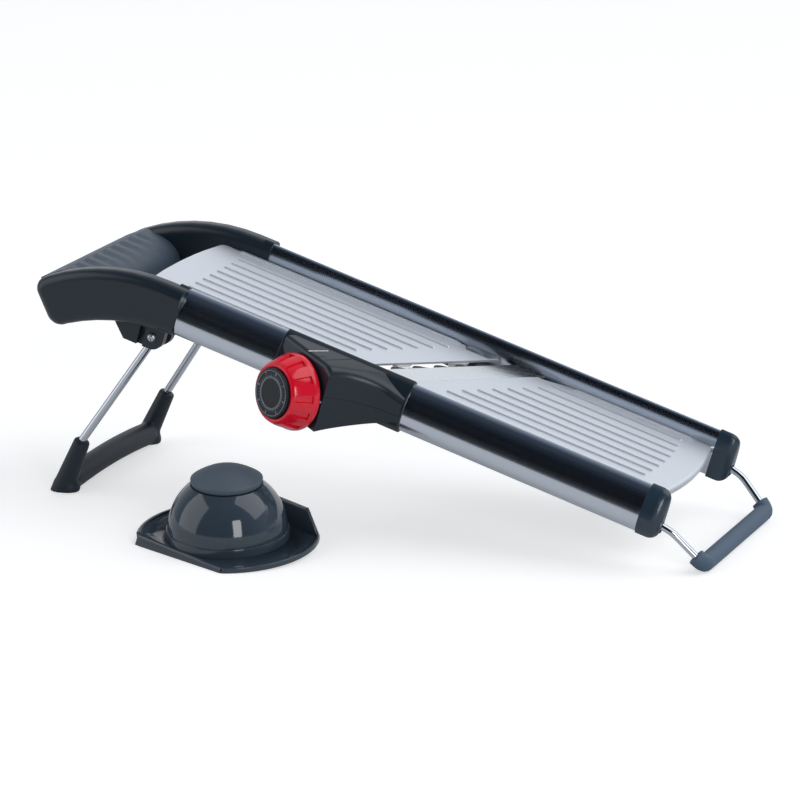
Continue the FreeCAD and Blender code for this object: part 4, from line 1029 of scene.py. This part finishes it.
# Soft-touch rubber over the disc: matte slate.
disc_rubber = moulded("soft_touch_rubber", "#4a5763", 0.6, 0.5, 0.3)
disc = turned(disc_profile, 96)
made("palm_disc_pad", disc, pusher_place, disc_rubber, "plunger", "disc_rubber", "palm_disc", crease=60)
dressed(slate_abs, "plunger_stem", "prong_plate")
dressed(plated_steel, "prongs")

# Stage
# A white sweep under a large soft box from above on the right, a box at the left and a strip at the
# right front. The room is darker and bluer behind the camera, so that the steel has contrast.

floor_half, floor_lift, floor_glow = 8, 0.55, 0.4

floor_mesh = bmesh.new()
bmesh.ops.create_grid(floor_mesh, x_segments=1, y_segments=1, size=floor_half)
floor = placed("floor", mesh_of(floor_mesh, "floor"))
# Sweep paper: matte, lifted to white for the camera and a little in reflections.
paper, tree, shader = new_material("white_sweep_paper", "#cccccc", 0.9)
shader.inputs["Specular IOR Level"].default_value = 0.0
rays = add(tree, "LightPath", {})
mirrored = add(tree, "Math", {0: rays.outputs["Is Glossy Ray"], 1: floor_glow}, operation="MULTIPLY")
seen = add(tree, "Math", {0: rays.outputs["Is Camera Ray"], 1: mirrored.outputs[0]}, operation="MAXIMUM")
lift = add(tree, "Math", {0: seen.outputs[0], 1: floor_lift}, operation="MULTIPLY")
shader.inputs["Emission Color"].default_value = (1, 1, 1, 1)
tree.links.new(lift.outputs[0], shader.inputs["Emission Strength"])
floor.data.materials.append(paper)

world = bpy.data.worlds.new("studio")
bpy.context.scene.world = world
world.use_nodes = True
tree = world.node_tree
background = tree.nodes["Background"]
rays = add(tree, "LightPath", {})
way = add(tree, "TexCoord", {})
side_on = add(tree, "SeparateXYZ", {"Vector": way.outputs["Generated"]})
share = add(tree, "MapRange", {"Value": side_on.outputs["Y"], "From Min": -0.95, "From Max": 0.8,
                               "To Min": 0.1, "To Max": 1.02})
shade = add(tree, "Math", {0: share.outputs["Result"], 1: 2.0}, operation="POWER")
level = add(tree, "Mix", {"Factor": rays.outputs["Is Camera Ray"], "A": shade.outputs["Value"], "B": 1.0},
            data_type="FLOAT")
tree.links.new(level.outputs["Result"], background.inputs["Strength"])
tint = add(tree, "Mix", {"Factor": share.outputs["Result"], "A": linear("#5f95cc"), "B": linear("#f4f7fb")},
           data_type="RGBA")
tree.links.new(tint.outputs["Result"], background.inputs["Color"])


def soft_box(name, place, width, height, power):
    """A studio light that looks at the object."""
    lamp = bpy.data.lights.new(name, "AREA")
    lamp.shape = "RECTANGLE"
    lamp.size, lamp.size_y = width, height
    lamp.energy = power
    box = placed(name, lamp)
    box.location = place
    box.rotation_euler = (-Vector(place)).to_track_quat("-Z", "Y").to_euler()


soft_box("key_box", (3.0, 1.05, 3.9), 4.6, 4.6, 120)
soft_box("left_box", (-2.8, -1.6, 1.3), 3.0, 4.0, 55)
soft_box("right_strip", (2.1, -2.3, 0.9), 0.9, 1.8, 36)

# Camera
# The photograph's viewpoint: a long lens, looking down on the knob's side.

view_turn, view_height, view_distance = radians(23.04), radians(15.96), 2.34225
view_left, view_down = 20.48, 7.93
right = Vector((cos(view_turn), sin(view_turn), 0))
back = Vector((sin(view_turn) * cos(view_height), -cos(view_turn) * cos(view_height), sin(view_height)))
up = back.cross(right)
aim = slicer_place @ Vector() + (Vector((130, 0, -30)) - right * view_left - up * view_down) * mm
lens = bpy.data.cameras.new("camera")
lens.sensor_width = 36
lens.lens = 198
lens.clip_end = 50
camera = placed("camera", lens)
camera.matrix_world = (Matrix.Translation(aim + back * view_distance)
                       @ Matrix((right, up, back)).transposed().to_4x4())
bpy.context.scene.camera = camera
bpy.context.scene.view_settings.view_transform = "Standard"
